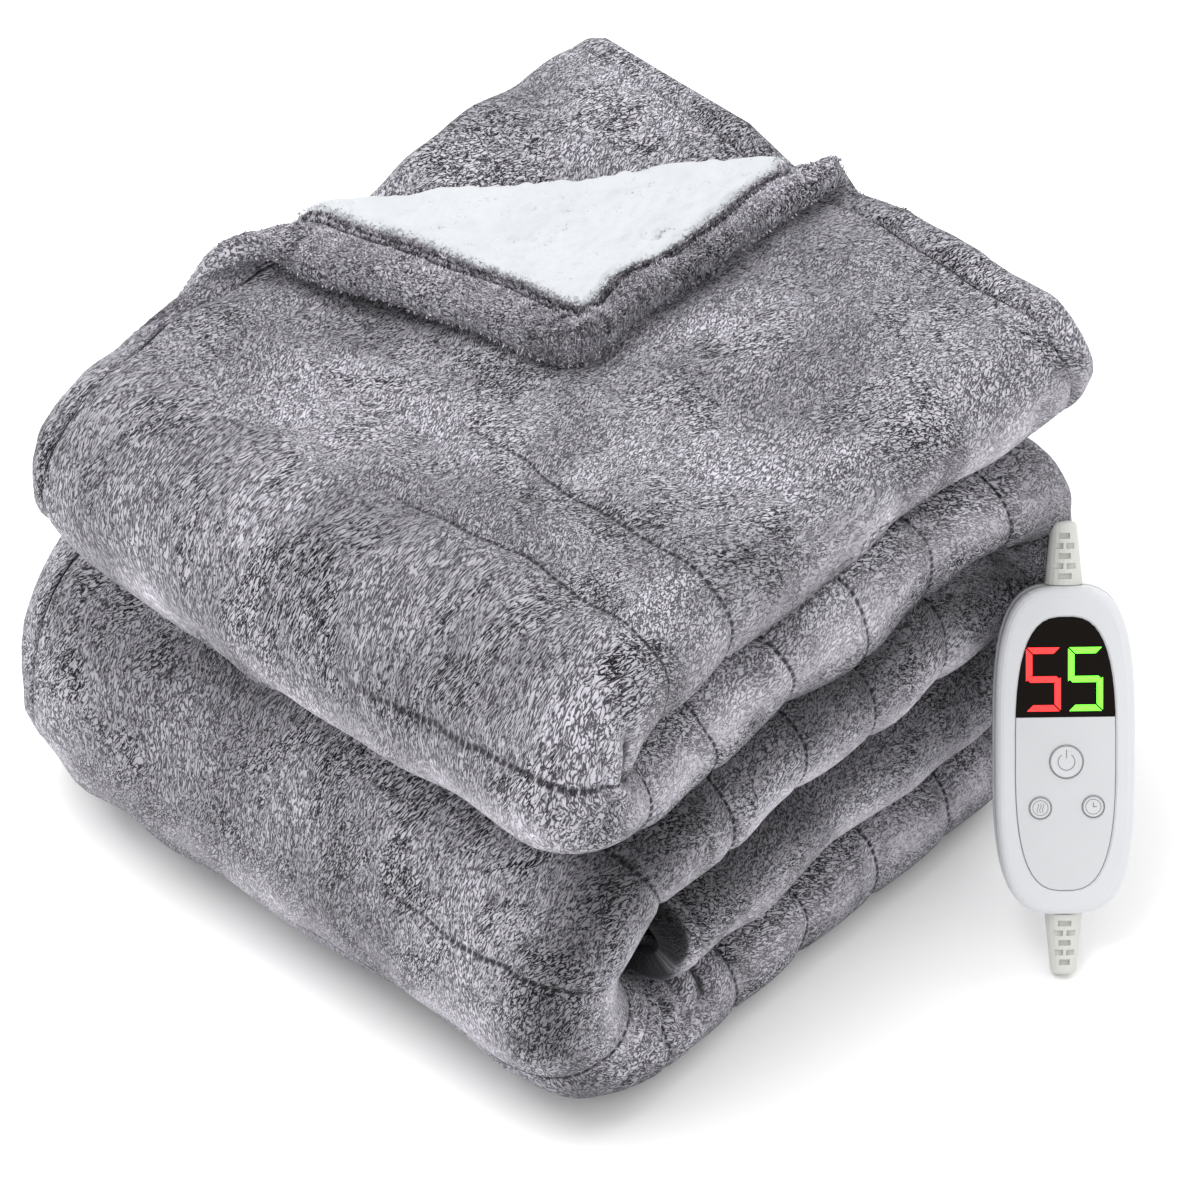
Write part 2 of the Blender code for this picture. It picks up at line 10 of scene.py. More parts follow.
import json
import logging
import math
from collections.abc import Callable
from dataclasses import dataclass, field, replace
from enum import Enum
from typing import ClassVar, NamedTuple

import bpy
import numpy as np
from bpy.types import Material, Node, NodeSocket, NodeTree, Object
from mathutils import Matrix, Vector


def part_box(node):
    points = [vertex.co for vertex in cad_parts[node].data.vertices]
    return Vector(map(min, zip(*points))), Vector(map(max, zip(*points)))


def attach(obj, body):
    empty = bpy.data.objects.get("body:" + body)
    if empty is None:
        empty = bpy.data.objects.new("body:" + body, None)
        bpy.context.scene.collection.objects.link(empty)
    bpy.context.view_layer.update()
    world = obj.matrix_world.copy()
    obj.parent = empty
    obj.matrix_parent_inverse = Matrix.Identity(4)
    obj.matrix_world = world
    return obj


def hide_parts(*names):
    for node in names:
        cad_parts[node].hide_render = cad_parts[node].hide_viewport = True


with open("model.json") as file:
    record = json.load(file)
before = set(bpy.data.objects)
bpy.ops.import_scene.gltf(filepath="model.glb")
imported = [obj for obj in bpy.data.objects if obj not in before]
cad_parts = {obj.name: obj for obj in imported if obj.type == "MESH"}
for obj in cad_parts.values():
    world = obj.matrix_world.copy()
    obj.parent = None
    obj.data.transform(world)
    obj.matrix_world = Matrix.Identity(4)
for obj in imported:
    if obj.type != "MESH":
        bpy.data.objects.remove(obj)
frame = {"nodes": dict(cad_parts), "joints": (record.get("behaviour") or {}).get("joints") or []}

LOG = logging.getLogger("heated_blanket")
CLOTH_UV = "cloth"
Array = np.ndarray
Pair = tuple[float, float]
Triple = tuple[float, float, float]
Colour = Triple


def smoothstep(low: float, high: float, value: Array) -> Array:
    """Share of a smooth rise from 0 at low to 1 at high, at each value."""
    share = np.clip((value - low) / (high - low), 0.0, 1.0)
    return share * share * (3.0 - 2.0 * share)


def bell(distance: Array, width: float) -> Array:
    """Smooth bump of height 1 that has fallen to about a third at width."""
    return np.exp(-((distance / width) ** 2))


class Spot(NamedTuple):
    """Bell-shaped share round a place."""

    place: float  # where it is 1
    width: float  # distance from there at which it is about a third

    def share(self, value: Array) -> Array:
        """Share at each value."""
        return bell(value - self.place, self.width)


def spread(start: float, end: float, step: float) -> list[float]:
    """Values after start up to end, evenly spaced and about step apart."""
    parts = max(1, round((end - start) / step))
    return [start + (end - start) * (index + 1) / parts for index in range(parts)]


@dataclass(frozen=True)
class Waves:
    """Smooth unevenness without a repeat: a sum of plane waves."""

    length: float  # usual wave length
    height: float  # usual height of the sum
    seed: int  # picks the waves' directions
    count: int = 14
    LENGTHS: ClassVar[Pair] = (0.65, 1.6)  # shortest and longest wave, as shares of the usual one

    def lift(self, points: Array, salt: int = 0) -> Array:
        """Height of the waves at places in a plane or in space.

        Args:
            points: One row for each place.
            salt: Gives another, unrelated pattern of the same kind.

        Returns:
            The height at each place.
        """
        random = np.random.default_rng(self.seed + 101 * salt)
        ways = random.normal(size=(self.count, points.shape[1]))
        ways /= np.linalg.norm(ways, axis=1, keepdims=True)
        pitch = 2 * math.pi / (self.length * random.uniform(*self.LENGTHS, self.count))
        phase = random.uniform(0, 2 * math.pi, self.count)
        total = np.zeros(len(points))
        for way, rate, start in zip(ways, pitch, phase):
            total += np.sin(points @ way * rate + start)
        return total * self.height / math.sqrt(self.count / 2)

    def push(self, points: Array) -> Array:
        """Displacement of each place, the same for all that lies there, so layers stay apart."""
        return np.stack([self.lift(points, salt) for salt in (1, 2, 3)], axis=1)


class Run(Enum):
    """How a stretch of the cloth's length lies."""

    STRAIGHT = "straight"
    FRONT_TURN = "turn at the front"
    BACK_TURN = "turn at the back"


class Stretch(NamedTuple):
    """Part of the cloth's length: a straight run or a half turn."""

    kind: Run
    origin: float  # where it starts along Y, or its centre
    height: float  # height of its middle, or of its centre
    radius: float  # radius of a turn
    way: int  # direction along Y, or the way that a turn at the back goes
    length: float


# Rate and start of each of two waves: the first rises and falls as a sine, the second as a cosine
WavePair = tuple[Pair, Pair]
SWELL_WAVES: WavePair = ((7.5, 1.1), (6.3, -0.5))
LEAN_WAVES: WavePair = ((11.0, -1.2), (5.0, 0.4))
BULGE_WAVES: WavePair = ((14.0, 0.6), (6.0, -0.3))


def waves(size: float, pair: WavePair, first: Array, second: Array) -> Array:
    """Slow unevenness, up to size, along a first and a second direction."""
    (rate, start), (other_rate, other_start) = pair
    return size * np.sin(rate * first + start) * np.cos(other_rate * second + other_start)


@dataclass
class FoldedCloth:
    """The flat cloth's way into the stack."""

    stack_width: float = 0.348
    stack_depth: float = 0.398
    pass_height: float = 0.0642  # height of one pass: three plies and the air between them
    ply_pitch: float = 0.0212  # height of one ply in a pass
    thickness: float = 0.0170
    crease_across: float = 0.208  # where the turned corner's crease meets the end hem
    crease_along: float = 0.298  # where it meets the side hem
    crease_radius: float = 0.0110
    corner_shear: float = 0.48  # how far the turned corner slides along its crease
    corner_slack: float = 0.18  # how far it is gathered
    corner_loft: float = 0.016  # how far its side end stands off the cloth below
    swell: float = 0.016  # unevenness of the stack's height
    lean_side: float = 0.006  # how far its sides wander
    bulge_front: float = 0.006  # how far its front and back wander
    weight_press: float = 0.058  # how much thinner the lower passes lie
    press_rate: float = 2.2  # how fast that fades upwards
    corner_lift: float = 0.034  # how much higher the folds stand that the turned corner uncovers
    corner_lift_reach: float = 0.085  # how far past the crease that reaches
    lift_growth: float = 1.5  # power of the height by which it grows
    lower_spread: float = 0.024  # how much further the lower bundle reaches to the left
    lower_top: float = 0.186  # where the lower bundle ends
    lower_blend: float = 0.025  # half the height over which that blends
    flat_below: float = 0.0022  # cloth lower than this is pressed flat on the surface
    tucked_end: float = 0.014  # how far the last pass reaches into the long turn
    # how much further in the lower plies' fold lies than the edge above it
    tuck_inset: float = 0.0100
    end_short: float = 0.001  # how far the inner end stops short of the rim's middle
    hem_bend: float = 0.040  # width of the edge that curls down over the folds below
    hem_droop: float = 0.0250  # how far it curls down
    hem_reach: float = 0.0190  # how far it reaches out
    reach_from: float = 0.120  # distance from the edge where that starts
    curl_clear: float = 0.02  # distance from the crease over which both fade
    # how far the turned corner's side edge curls down where it stands off
    flap_droop: float = 0.0050
    flap_from: float = 0.04  # distance past the crease over which that starts
    tip_radius: float = 0.016  # reach of the rounding of the cloth's corner
    tip_pull: float = 0.0062  # how far that rounding draws the corner in
    # place of the stack's middle in the frame
    centre: Array = field(default_factory=lambda: np.zeros(3))

    def __post_init__(self) -> None:
        """Work out the stretches across and along from the sizes."""
        pitch, half_width = self.ply_pitch, self.stack_width / 2
        self.half_pass = pitch + self.thickness / 2
        self.left = -half_width
        self.back = self.stack_depth / 2
        self.rim_centre = half_width - self.half_pass
        self.tuck_centre = self.left + self.tuck_inset + pitch / 2 + self.thickness / 2
        self.top_end = self.rim_centre - self.left
        self.rim_end = self.top_end + math.pi * pitch
        self.bottom_end = self.rim_end + self.rim_centre - self.tuck_centre
        self.tuck_end = self.bottom_end + math.pi * pitch / 2
        self.width = self.tuck_end + self.rim_centre - self.tuck_centre - self.end_short
        self.height = self.level(5) + self.half_pass
        self.runs = self.lay_out()
        self.length = sum(stretch.length for stretch in self.runs)
        self.crease_scale = math.hypot(1 / self.crease_across, 1 / self.crease_along)

    def level(self, number: int) -> float:
        """Height of the middle of a pass, counted from the surface up."""
        return self.pass_height * (number - 1) + self.half_pass

    def lay_out(self) -> list[Stretch]:
        """Stretches along the length.

        Returns:
            The stretches, top pass first.
        """
        short, long = self.pass_height / 2, self.pass_height
        front = -self.stack_depth / 2 + self.half_pass
        near, far = front + short, front + long
        rear = self.back - short - self.half_pass
        levels = [self.level(number) for number in range(6)]
        low_turn, mid_turn = (levels[1] + levels[2]) / 2, (levels[3] + levels[4]) / 2
        half_turn = math.pi * short
        low_pass, mid_pass, top_turn = levels[1], levels[3], (levels[5] + levels[4]) / 2
        return [
            Stretch(Run.STRAIGHT, self.back, levels[5], 0.0, -1, self.back - near),
            Stretch(Run.FRONT_TURN, near, top_turn, short, -1, half_turn),
            Stretch(Run.STRAIGHT, near, levels[4], 0.0, 1, rear - near),
            Stretch(Run.BACK_TURN, rear, mid_turn, short, -1, half_turn),
            Stretch(Run.STRAIGHT, rear, mid_pass, 0.0, -1, rear - far),
            Stretch(Run.FRONT_TURN, far, levels[2], long, -1, math.pi * long),
            Stretch(Run.STRAIGHT, far, low_pass, 0.0, 1, rear - far),
            Stretch(Run.BACK_TURN, rear, low_turn, short, 1, half_turn),
            Stretch(Run.STRAIGHT, rear, levels[2], 0.0, -1, rear - far + self.tucked_end),
        ]

    def past_crease(self, u: Array, v: Array) -> Array:
        """Distance of a flat point past the crease, towards the corner."""
        return (1.0 - u / self.crease_across - v / self.crease_along) / self.crease_scale

    def turn_corner(self, u: Array, v: Array, t: Array) -> tuple[Array, ...]:
        """Turn the corner back over its crease.

        Args:
            u: Flat place across.
            v: Flat place along.
            t: Height over the middle of the cloth.

        Returns:
            Flat place across and along, and height, after the turn.
        """
        away_u = -1.0 / (self.crease_across * self.crease_scale)
        away_v = -1.0 / (self.crease_along * self.crease_scale)
        past = np.maximum(self.past_crease(u, v), 0.0)
        arc = math.pi * self.crease_radius
        angle = np.minimum(past, arc) / self.crease_radius
        beyond = np.maximum(past - arc, 0.0)
        radius = self.crease_radius - t
        forward = radius * np.sin(angle) - beyond * (1.0 - self.corner_slack) - past
        rise = self.crease_radius - radius * np.cos(angle)
        rise += self.corner_loft * v / self.crease_along * np.minimum(1.0, past / arc)
        slide = self.corner_shear * beyond
        return u + forward * away_u + slide * away_v, v + forward * away_v - slide * away_u, rise

    def fold_across(self, u: Array, t: Array) -> tuple[Array, Array]:
        """Fold the width in three.

        Args:
            u: Flat place across.
            t: Height over the middle of the cloth.

        Returns:
            Place along X, and height over the middle of the pass.
        """
        pitch, bend = self.ply_pitch, self.ply_pitch / 2
        rim = (u - self.top_end) / pitch
        tuck = (u - self.bottom_end) / bend
        where = [u <= self.top_end, u <= self.rim_end, u <= self.bottom_end, u <= self.tuck_end]
        x = np.select(
            where,
            [
                self.left + u,
                self.rim_centre + (pitch + t) * np.sin(rim),
                self.rim_centre - (u - self.rim_end),
                self.tuck_centre - (bend + t) * np.sin(tuck),
            ],
            self.tuck_centre + (u - self.tuck_end),
        )
        bottom = -bend - (bend + t) * np.cos(tuck)
        w = np.select(where, [pitch + t, (pitch + t) * np.cos(rim), -pitch - t, bottom], t)
        return x, w

    def lay_along(self, v: Array, w: Array) -> tuple[Array, Array]:
        """Lay the length back and forth.

        Args:
            v: Place along the length.
            w: Height over the middle of the pass.

        Returns:
            Places along Y and Z.
        """
        y, z = np.zeros_like(v), np.zeros_like(v)
        start = 0.0
        for index, (kind, origin, height, radius, way, length) in enumerate(self.runs):
            after = v >= start if index else np.full(v.shape, True)
            here = after & ((v < start + length) | (index == len(self.runs) - 1))
            along, over = v[here] - start, w[here]
            if kind is Run.STRAIGHT:
                y[here] = origin + way * along
                z[here] = height - way * over
            elif kind is Run.FRONT_TURN:
                y[here] = origin - (radius + over) * np.sin(along / radius)
                z[here] = height + (radius + over) * np.cos(along / radius)
            else:
                reach = radius + way * over
                y[here] = origin + reach * np.sin(along / radius)
                z[here] = height - way * reach * np.cos(along / radius)
            start += length
        return y, z

    def settle(self, x: Array, y: Array, z: Array) -> Array:
        """Let the neat stack swell, lean and spread.

        Args:
            x: Place across.
            y: Place along.
            z: Height.

        Returns:
            One row for each place.
        """
        up = z / self.height
        swell = waves(self.swell, SWELL_WAVES, x, y)
        past = self.past_crease(x - self.left, self.back - y)
        uncovered = smoothstep(0.0, self.corner_lift_reach, past)
        below = 1.0 - smoothstep(-self.lower_blend, self.lower_blend, z - self.lower_top)
        spread_left = self.lower_spread * smoothstep(0.0, 1.0, x / self.left) * below
        press = self.weight_press * self.height * (1.0 - np.exp(-self.press_rate * up))
        lean = waves(self.lean_side, LEAN_WAVES, z, y)
        bulge = waves(self.bulge_front, BULGE_WAVES, z, x)
        lift = self.corner_lift * uncovered * np.maximum(up, 0.0) ** self.lift_growth
        settled = (z - press) * (1.0 + swell) + lift
        return np.stack([x + lean * up - spread_left, y + bulge * up, settled], axis=1)

    def place(self, u: Array, v: Array, t: Array) -> Array:
        """Carry flat points to their place in the stack.

        Args:
            u: Flat place across.
            v: Flat place along.
            t: Height over the middle of the cloth.

        Returns:
            One row for each point.
        """
        past = self.past_crease(u, v)
        curl = np.maximum(1.0 - u / self.hem_bend, 0.0) ** 2
        flat_share = smoothstep(0.0, self.curl_clear, -past)
        edge = curl * flat_share
        flap = curl * smoothstep(0.0, self.flap_from, past) * v / self.crease_along
        pull = self.tip_pull * bell(np.hypot(u, v), self.tip_radius)
        bent = t - self.hem_droop * edge + self.flap_droop * flap
        turned_u, turned_v, rise = self.turn_corner(u + pull, v + pull, bent)
        x, w = self.fold_across(turned_u, rise)
        reach = np.maximum(1.0 - u / self.reach_from, 0.0) ** 2
        x = x - self.hem_reach * reach * flat_share
        y, z = self.lay_along(turned_v, w)
        z = np.where(z < self.flat_below, 0.0, z)
        return self.settle(x, y, z) + self.centre


@dataclass
class HandControlPlace:
    """Where the hand control's face lies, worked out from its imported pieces."""

    length: float = 0.165
    width: float = 0.070
    power_along: float = -0.0050
    power_across: float = 0.0004

    def __post_init__(self) -> None:
        """Read the face's direction from the buttons' joint, and its place from their pieces."""
        joint = next(joint for joint in frame["joints"] if joint["child"] == "power_key")
        normal = -Vector(joint["axis"]).normalized()
        across = Vector((0.0, 0.0, 1.0)).cross(normal).normalized()
        along = normal.cross(across)
        turn = Matrix((across, along, normal)).transposed()
        button = self.points("button_power") @ np.array(turn)
        middle = (button.min(axis=0) + button.max(axis=0)) / 2
        back = self.points("handset_back") @ np.array(turn)
        across_middle, along_middle = middle[0] - self.power_across, middle[1] - self.power_along
        origin = turn @ Vector((across_middle, along_middle, back[:, 2].min()))
        self.turn = np.array(turn)
        self.origin = np.array(origin)
        self.matrix = Matrix.Translation(origin) @ turn.to_4x4()

    @staticmethod
    def points(node: str) -> Array:
        """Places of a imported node's vertices, one row each.

        Args:
            node: The node's name.

        Returns:
            The places.
        """
        mesh = frame["nodes"][node].data
        values = np.zeros(len(mesh.vertices) * 3)
        mesh.vertices.foreach_get("co", values)
        return values.reshape(-1, 3)

    def top(self, node: str) -> float:
        """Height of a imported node's face over the housing's back."""
        return float(((self.points(node) - self.origin) @ self.turn)[:, 2].max())

    def clear(self, points: Array, gap: float, slope: float = 1.4) -> Array:
        """Dent cloth that would reach into the housing.

        Args:
            points: Places on the cloth.
            gap: Distance to keep from the housing's back.
            slope: How steeply the dent rises round the housing.

        Returns:
            The places after the dent.
        """
        local = (points - self.origin) @ self.turn
        half = np.array([self.width / 2, self.length / 2])
        outside = np.linalg.norm(np.maximum(np.abs(local[:, :2]) - half, 0.0), axis=1)
        limit = -gap + outside * slope
        local[:, 2] = np.minimum(local[:, 2], limit)
        return local @ self.turn.T + self.origin


@dataclass(frozen=True)
class Crease:
    """Fold line that the cloth keeps, traced on the flat cloth."""

    line: tuple[Pair, ...]  # flat places along it
    depth: float = 0.0026
    width: float = 0.0034  # half the width of its groove
    mark: float = 1.0  # how dark its painted shade is
    # height of the swelling beside it, as a share of the depth, its place and its width, both as
    # shares of the groove's width
    RIDGE: ClassVar[Triple] = (0.45, 2.4, 1.3)
    LIGHT: ClassVar[Triple] = (0.8, 2.6, 1.2)  # the same for the painted highlight on that swelling
    GROOVE_SHADE: ClassVar[float] = 0.8  # width of its shade, as a share of the groove's
    END: ClassVar[float] = 0.22  # share of the line over which each end fades
    END_STRENGTH: ClassVar[float] = 0.25  # strength that is left at the very end

    def nearness(self, flat: Array) -> tuple[Array, Array]:
        """How near flat places lie.

        Args:
            flat: Flat places, one row each.

        Returns:
            The distance from the crease, and its strength there, less at its ends.
        """
        points = np.array(self.line)
        distance = np.full(len(flat), np.inf)
        share = np.zeros(len(flat))
        for number, (start, end) in enumerate(zip(points, points[1:])):
            way = end - start
            along = np.clip((flat - start) @ way / (way @ way), 0.0, 1.0)
            reach = np.linalg.norm(flat - start - along[:, None] * way, axis=1)
            nearer = reach < distance
            distance = np.where(nearer, reach, distance)
            share = np.where(nearer, (number + along) / (len(points) - 1), share)
        fade = smoothstep(0.0, self.END, share) * smoothstep(0.0, self.END, 1.0 - share)
        return distance, self.END_STRENGTH + (1.0 - self.END_STRENGTH) * fade

    def beside(self, distance: Array, swelling: Triple) -> Array:
        """Height of a swelling beside the groove, at distances from the crease."""
        height, place, width = swelling
        return height * bell(distance - place * self.width, width * self.width)

    def relief(self, flat: Array) -> Array:
        """Height that the crease adds to the plush face at flat places.

        Args:
            flat: Flat places, one row each.

        Returns:
            The height at each.
        """
        distance, strength = self.nearness(flat)
        groove = bell(distance, self.width)
        return self.depth * (self.beside(distance, self.RIDGE) - groove) * strength

    def shadow(self, flat: Array) -> Array:
        """Share of the groove's painted shade at flat places, less than 0 for the painted highlight
        on the swelling beside it.

        Args:
            flat: Flat places, one row each.

        Returns:
            The share at each.
        """
        distance, strength = self.nearness(flat)
        groove = bell(distance, self.GROOVE_SHADE * self.width)
        return self.mark * (groove - self.beside(distance, self.LIGHT)) * strength


# Grid lines over the hem, its stitching and the strip beside it, from the edge inwards
HEM_LINES = (0.0, 0.0003, 0.0010, 0.0022, 0.0040, 0.0064, 0.0092, 0.0122, 0.0150, 0.0170, 0.0185,
             0.0195, 0.0207, 0.0222, 0.0240, 0.0262, 0.0300, 0.0350)
CREASES = (
    # On the rim of the lower bundle, beside its long turn
    Crease(((0.272, 1.1080), (0.2839, 1.1135), (0.3103, 1.1202), (0.3331, 1.1262),
            (0.350, 1.1215)), 0.0014, 0.0019, mark=0.6),
    Crease(((0.255, 1.1520), (0.2680, 1.1546), (0.2974, 1.1580), (0.3236, 1.1610),
            (0.3477, 1.1720)), 0.0014, 0.0019, mark=0.6),
    # Gathers at the lower near corner
    Crease(((0.384, 1.1900), (0.3677, 1.2023), (0.3558, 1.1994), (0.3420, 1.1930)), 0.0030, 0.0028),
    Crease(((0.386, 1.2330), (0.3678, 1.2262), (0.3554, 1.2081), (0.3410, 1.1990)), 0.0032, 0.0028),
    Crease(((0.387, 1.2480), (0.3653, 1.2436), (0.3537, 1.2216), (0.3410, 1.2090)), 0.0032, 0.0028),
    Crease(((0.388, 1.2640), (0.3673, 1.2597), (0.3572, 1.2409), (0.3430, 1.2260)), 0.0030, 0.0028),
    Crease(((0.388, 1.2790), (0.3682, 1.2744), (0.3614, 1.2595), (0.3480, 1.2430)), 0.0028, 0.0030),
    # Gathers at the upper near corner
    Crease(((0.3380, 0.3700), (0.3417, 0.3773), (0.3446, 0.3889), (0.3391, 0.3965)),
           0.0026, 0.0024),
    Crease(((0.3400, 0.3620), (0.3468, 0.3715), (0.3530, 0.3908), (0.3430, 0.4045)),
           0.0028, 0.0024),
    Crease(((0.3440, 0.3530), (0.3540, 0.3620), (0.3660, 0.3930), (0.3500, 0.4140)),
           0.0028, 0.0026),
    # Soft folds on the top face
    Crease(((0.246, 0.3560), (0.270, 0.3640), (0.292, 0.3650), (0.312, 0.3610)),
           0.0016, 0.0040, mark=0.2),
    Crease(((0.060, 0.3050), (0.110, 0.2860), (0.165, 0.2900), (0.210, 0.3060)),
           0.0018, 0.0090, mark=0.25),
    Crease(((0.215, 0.0600), (0.245, 0.0900), (0.262, 0.1400), (0.268, 0.1900)),
           0.0018, 0.0085, mark=0.25),
    Crease(((0.175, 0.1700), (0.200, 0.1950), (0.235, 0.2100), (0.275, 0.2120)),
           0.0016, 0.0080, mark=0.25),
)


@dataclass
class Blanket:
    """The plush blanket: its skin, turned hem, fleece face and pile."""

    cloth: FoldedCloth  # the cloth's way into the stack
    control: HandControlPlace  # where the hand control lies, which the cloth stays clear of
    hem_width: float = 0.0195
    hem_half: float = 0.0100  # half the thickness of the hem's roll
    hem_fade: float = 0.003  # width over which the hem's own looks end at its stitching
    edge_half: float = 0.0003  # half the thickness at the very edge
    roll_power: float = 0.75  # below 1 makes the roll fuller than an ellipse
    stitch_half: float = 0.0040  # half the thickness at its line of stitching
    strip_half: float = 0.0094  # half the thickness of the raw strip beside it
    strip_reach: float = 0.0240  # inner edge of the raw strip beside the stitching
    strip_ends: Pair = (0.0020, 0.0025)  # widths over which the strip starts and ends
    strip_pucker: float = 0.6  # its unevenness, as a share of the hem's
    cloth_rise: float = 0.0035  # width over which the cloth rises from the stitching
    corner_round: float = 0.0022  # how far the hem's inner corner is rounded off
    corner_reach: float = 0.012  # reach of that rounding
    channel_pitch: float = 0.054  # distance between the stitched lines of the heating channels
    channel_relief: float = 0.0011  # how far a channel swells
    channel_groove: float = 0.0007  # depth of its line of stitching
    groove_width: float = 0.0034  # half the width of that line
    rim_pinch: float = 0.0009  # extra depth of that line where it crosses the rim's fold
    rim_reach: float = 0.040  # how far from the rim's middle that reaches
    rim_calm: float = 0.45  # how much less a channel swells there
    # share of the relief that is left where the pile hides the stitching
    hidden_relief: float = 0.35
    plain_start: float = 0.24  # length with no channels at the start of the cloth
    relief_fade: float = 0.030  # how far inside the hem the channels end
    channel_fade: float = 0.02  # length over which they start and end
    row_least: float = 0.0009  # least distance between two lines of the grid
    sag: Waves = Waves(0.150, 0.0020, seed=11)  # slow unevenness of the stack
    rumple: Waves = Waves(0.060, 0.0010, seed=23)  # quicker unevenness of the stack
    pucker: Waves = Waves(0.020, 0.0007, seed=37)  # unevenness of the hem
    # how far the end of the stitching that shows wanders
    wander: Waves = Waves(0.11, 0.05, seed=41)
    press: float = 0.42  # how much thinner the hem is where it bends over the crease
    knot: float = 0.0030  # how much thicker the hem's corner is
    fleece_inset: float = 0.0236  # distance of the fleece face from the cloth's edge
    fleece_grid: tuple[int, int] = (84, 110)  # its grid lines from the tip outwards and sideways
    fleece_depth: Pair = (0.0006, 0.0034)  # how thick it is at its rim, and how much more inside
    fleece_rim: float = 0.006  # width over which it rounds down to its rim
    fleece_gap: float = 0.0003  # how far its underside stands off the cloth
    fleece_curl: Waves = Waves(0.0085, 0.0003, seed=5, count=30)  # its quick unevenness
    fleece_lump: Waves = Waves(0.030, 0.0003, seed=6)  # its slow unevenness
    KNOT: ClassVar[Spot] = Spot(0.010, 0.013)  # where that is, measured from the corner
    PRESSED: ClassVar[Spot] = Spot(0.012, 0.018)  # where the hem is pressed, past the crease
    # across the cloth, from where the stitching is hidden to where it shows
    SHOWN: ClassVar[Pair] = (0.19, 0.29)
    # painted highlight on the crest of the rim: its place as a share of its half turn, and its width
    RIM_LIGHT: ClassVar[Spot] = Spot(0.58, 0.010)
    RIM_HOLLOW: ClassVar[Spot] = Spot(0.20, 0.020)  # painted shade in the hollow over the rim, the same way
    # painted highlight on the crest of a turn along the cloth: its place as a share of its arc, and
    # its width as a share of its radius
    TURN_LIGHT: ClassVar[Spot] = Spot(0.62, 0.25)
    # where gathers break the painted highlight on the rim's crest
    GATHERS: ClassVar[tuple[Spot, Spot]] = (Spot(0.383, 0.032), Spot(1.235, 0.050))
    HOLLOW_RISE: ClassVar[Pair] = (0.39, 0.46)  # along the cloth, where the painted shade in that hollow starts
    # from the far end inwards, over which painted shade darkens the cloth
    FAR_DARK: ClassVar[Pair] = (0.002, 0.012)
    BROKEN: ClassVar[float] = 0.85  # how much weaker the painted highlight on a crest is where gathers or a rim break it
    RIM_START: ClassVar[float] = 0.022  # width over which the rim starts
    TURN_SHARE: ClassVar[float] = 0.9  # how strong the painted highlight on the turns' crests is
    HOLLOW_SHARE: ClassVar[float] = 0.95  # how dark the painted shade in the hollow is
    FAR_SHARE: ClassVar[float] = 1.6  # how dark the painted shade at the far end is

    def crumple(self, points: Array) -> Array:
        """Make the stack uneven, flat where it lies on the surface and clear of the hand control.

        Args:
            points: Places in the neat stack.

        Returns:
            The places after it.
        """
        push = self.sag.push(points) + self.rumple.push(points)
        push *= smoothstep(0.0, 0.030, points[:, 2])[:, None]
        return self.control.clear(points + push, gap=0.0006)

    def place(self, u: Array, v: Array, t: Array) -> Array:
        """Carry flat points to their place in the crumpled stack."""
        return self.crumple(self.cloth.place(u, v, t))

    def inward(self, u: Array, v: Array) -> Array:
        """Distance from the nearest hemmed edge: both ends and the side that shows.

        Args:
            u: Flat place across.
            v: Flat place along.

        Returns:
            The distance.
        """
        corner = np.maximum(self.hem_width - np.minimum(u, v), 0.0)
        soft = self.corner_round * bell(u - v, self.corner_reach) * corner / self.hem_width
        nearest = np.minimum(np.minimum(u, v), np.abs(self.cloth.length - v))
        return np.maximum(nearest - soft, 0.0)

    def hem_mask(self, u: Array, v: Array) -> Array:
        """Share of a flat point that is hem: 1 on the band, 0 past its line of stitching."""
        inner = self.hem_width - self.hem_fade
        return 1.0 - smoothstep(inner, self.hem_width, self.inward(u, v))

    def strip_mask(self, inward: Array) -> Array:
        """Share of a flat point that is the raw strip beside the hem's stitching.

        Args:
            inward: Distance from the edge.

        Returns:
            The share.
        """
        starts, ends = self.strip_ends
        rise = smoothstep(self.hem_width, self.hem_width + starts, inward)
        return rise * (1.0 - smoothstep(self.strip_reach - ends, self.strip_reach, inward))

    def hem_profile(self, inward: Array) -> Array:
        """Half the thickness near an edge: a round roll, its stitching, a raw strip, the cloth.

        Args:
            inward: Distance from the edge.

        Returns:
            Half the thickness.
        """
        middle = self.hem_width / 2
        ellipse = np.sqrt(np.clip(1.0 - ((inward - middle) / middle) ** 2, 0.0, 1.0))
        round_off = ellipse**self.roll_power
        outer = np.where(inward < middle, self.edge_half, self.stitch_half)
        roll = outer + (self.hem_half - outer) * round_off
        flat = self.cloth.thickness / 2
        past = smoothstep(self.hem_width, self.hem_width + self.cloth_rise, inward)
        cloth = self.stitch_half + (flat - self.stitch_half) * past
        cloth += (self.strip_half - flat) * self.strip_mask(inward)
        return np.where(inward < self.hem_width, roll, cloth)

    def unrolled(self, place: Array, samples: int = 400) -> Array:
        """Distance from an edge, measured round the hem's roll, so its pile isn't stretched.

        Args:
            place: Flat distance from the edge.
            samples: Steps in which the roll is measured.

        Returns:
            The distance at each place.
        """
        fine = np.linspace(0.0, self.hem_width, samples)
        steps = np.hypot(np.diff(fine), np.diff(self.hem_profile(fine)))
        round_way = np.concatenate([[0.0], np.cumsum(steps)])
        extra = self.hem_width - round_way[-1]
        return np.where(place < self.hem_width, np.interp(place, fine, round_way) + extra, place)

    def channel_distance(self, v: Array) -> Array:
        """Distance from the nearest stitched line across the cloth."""
        return np.abs(v - np.round(v / self.channel_pitch) * self.channel_pitch)

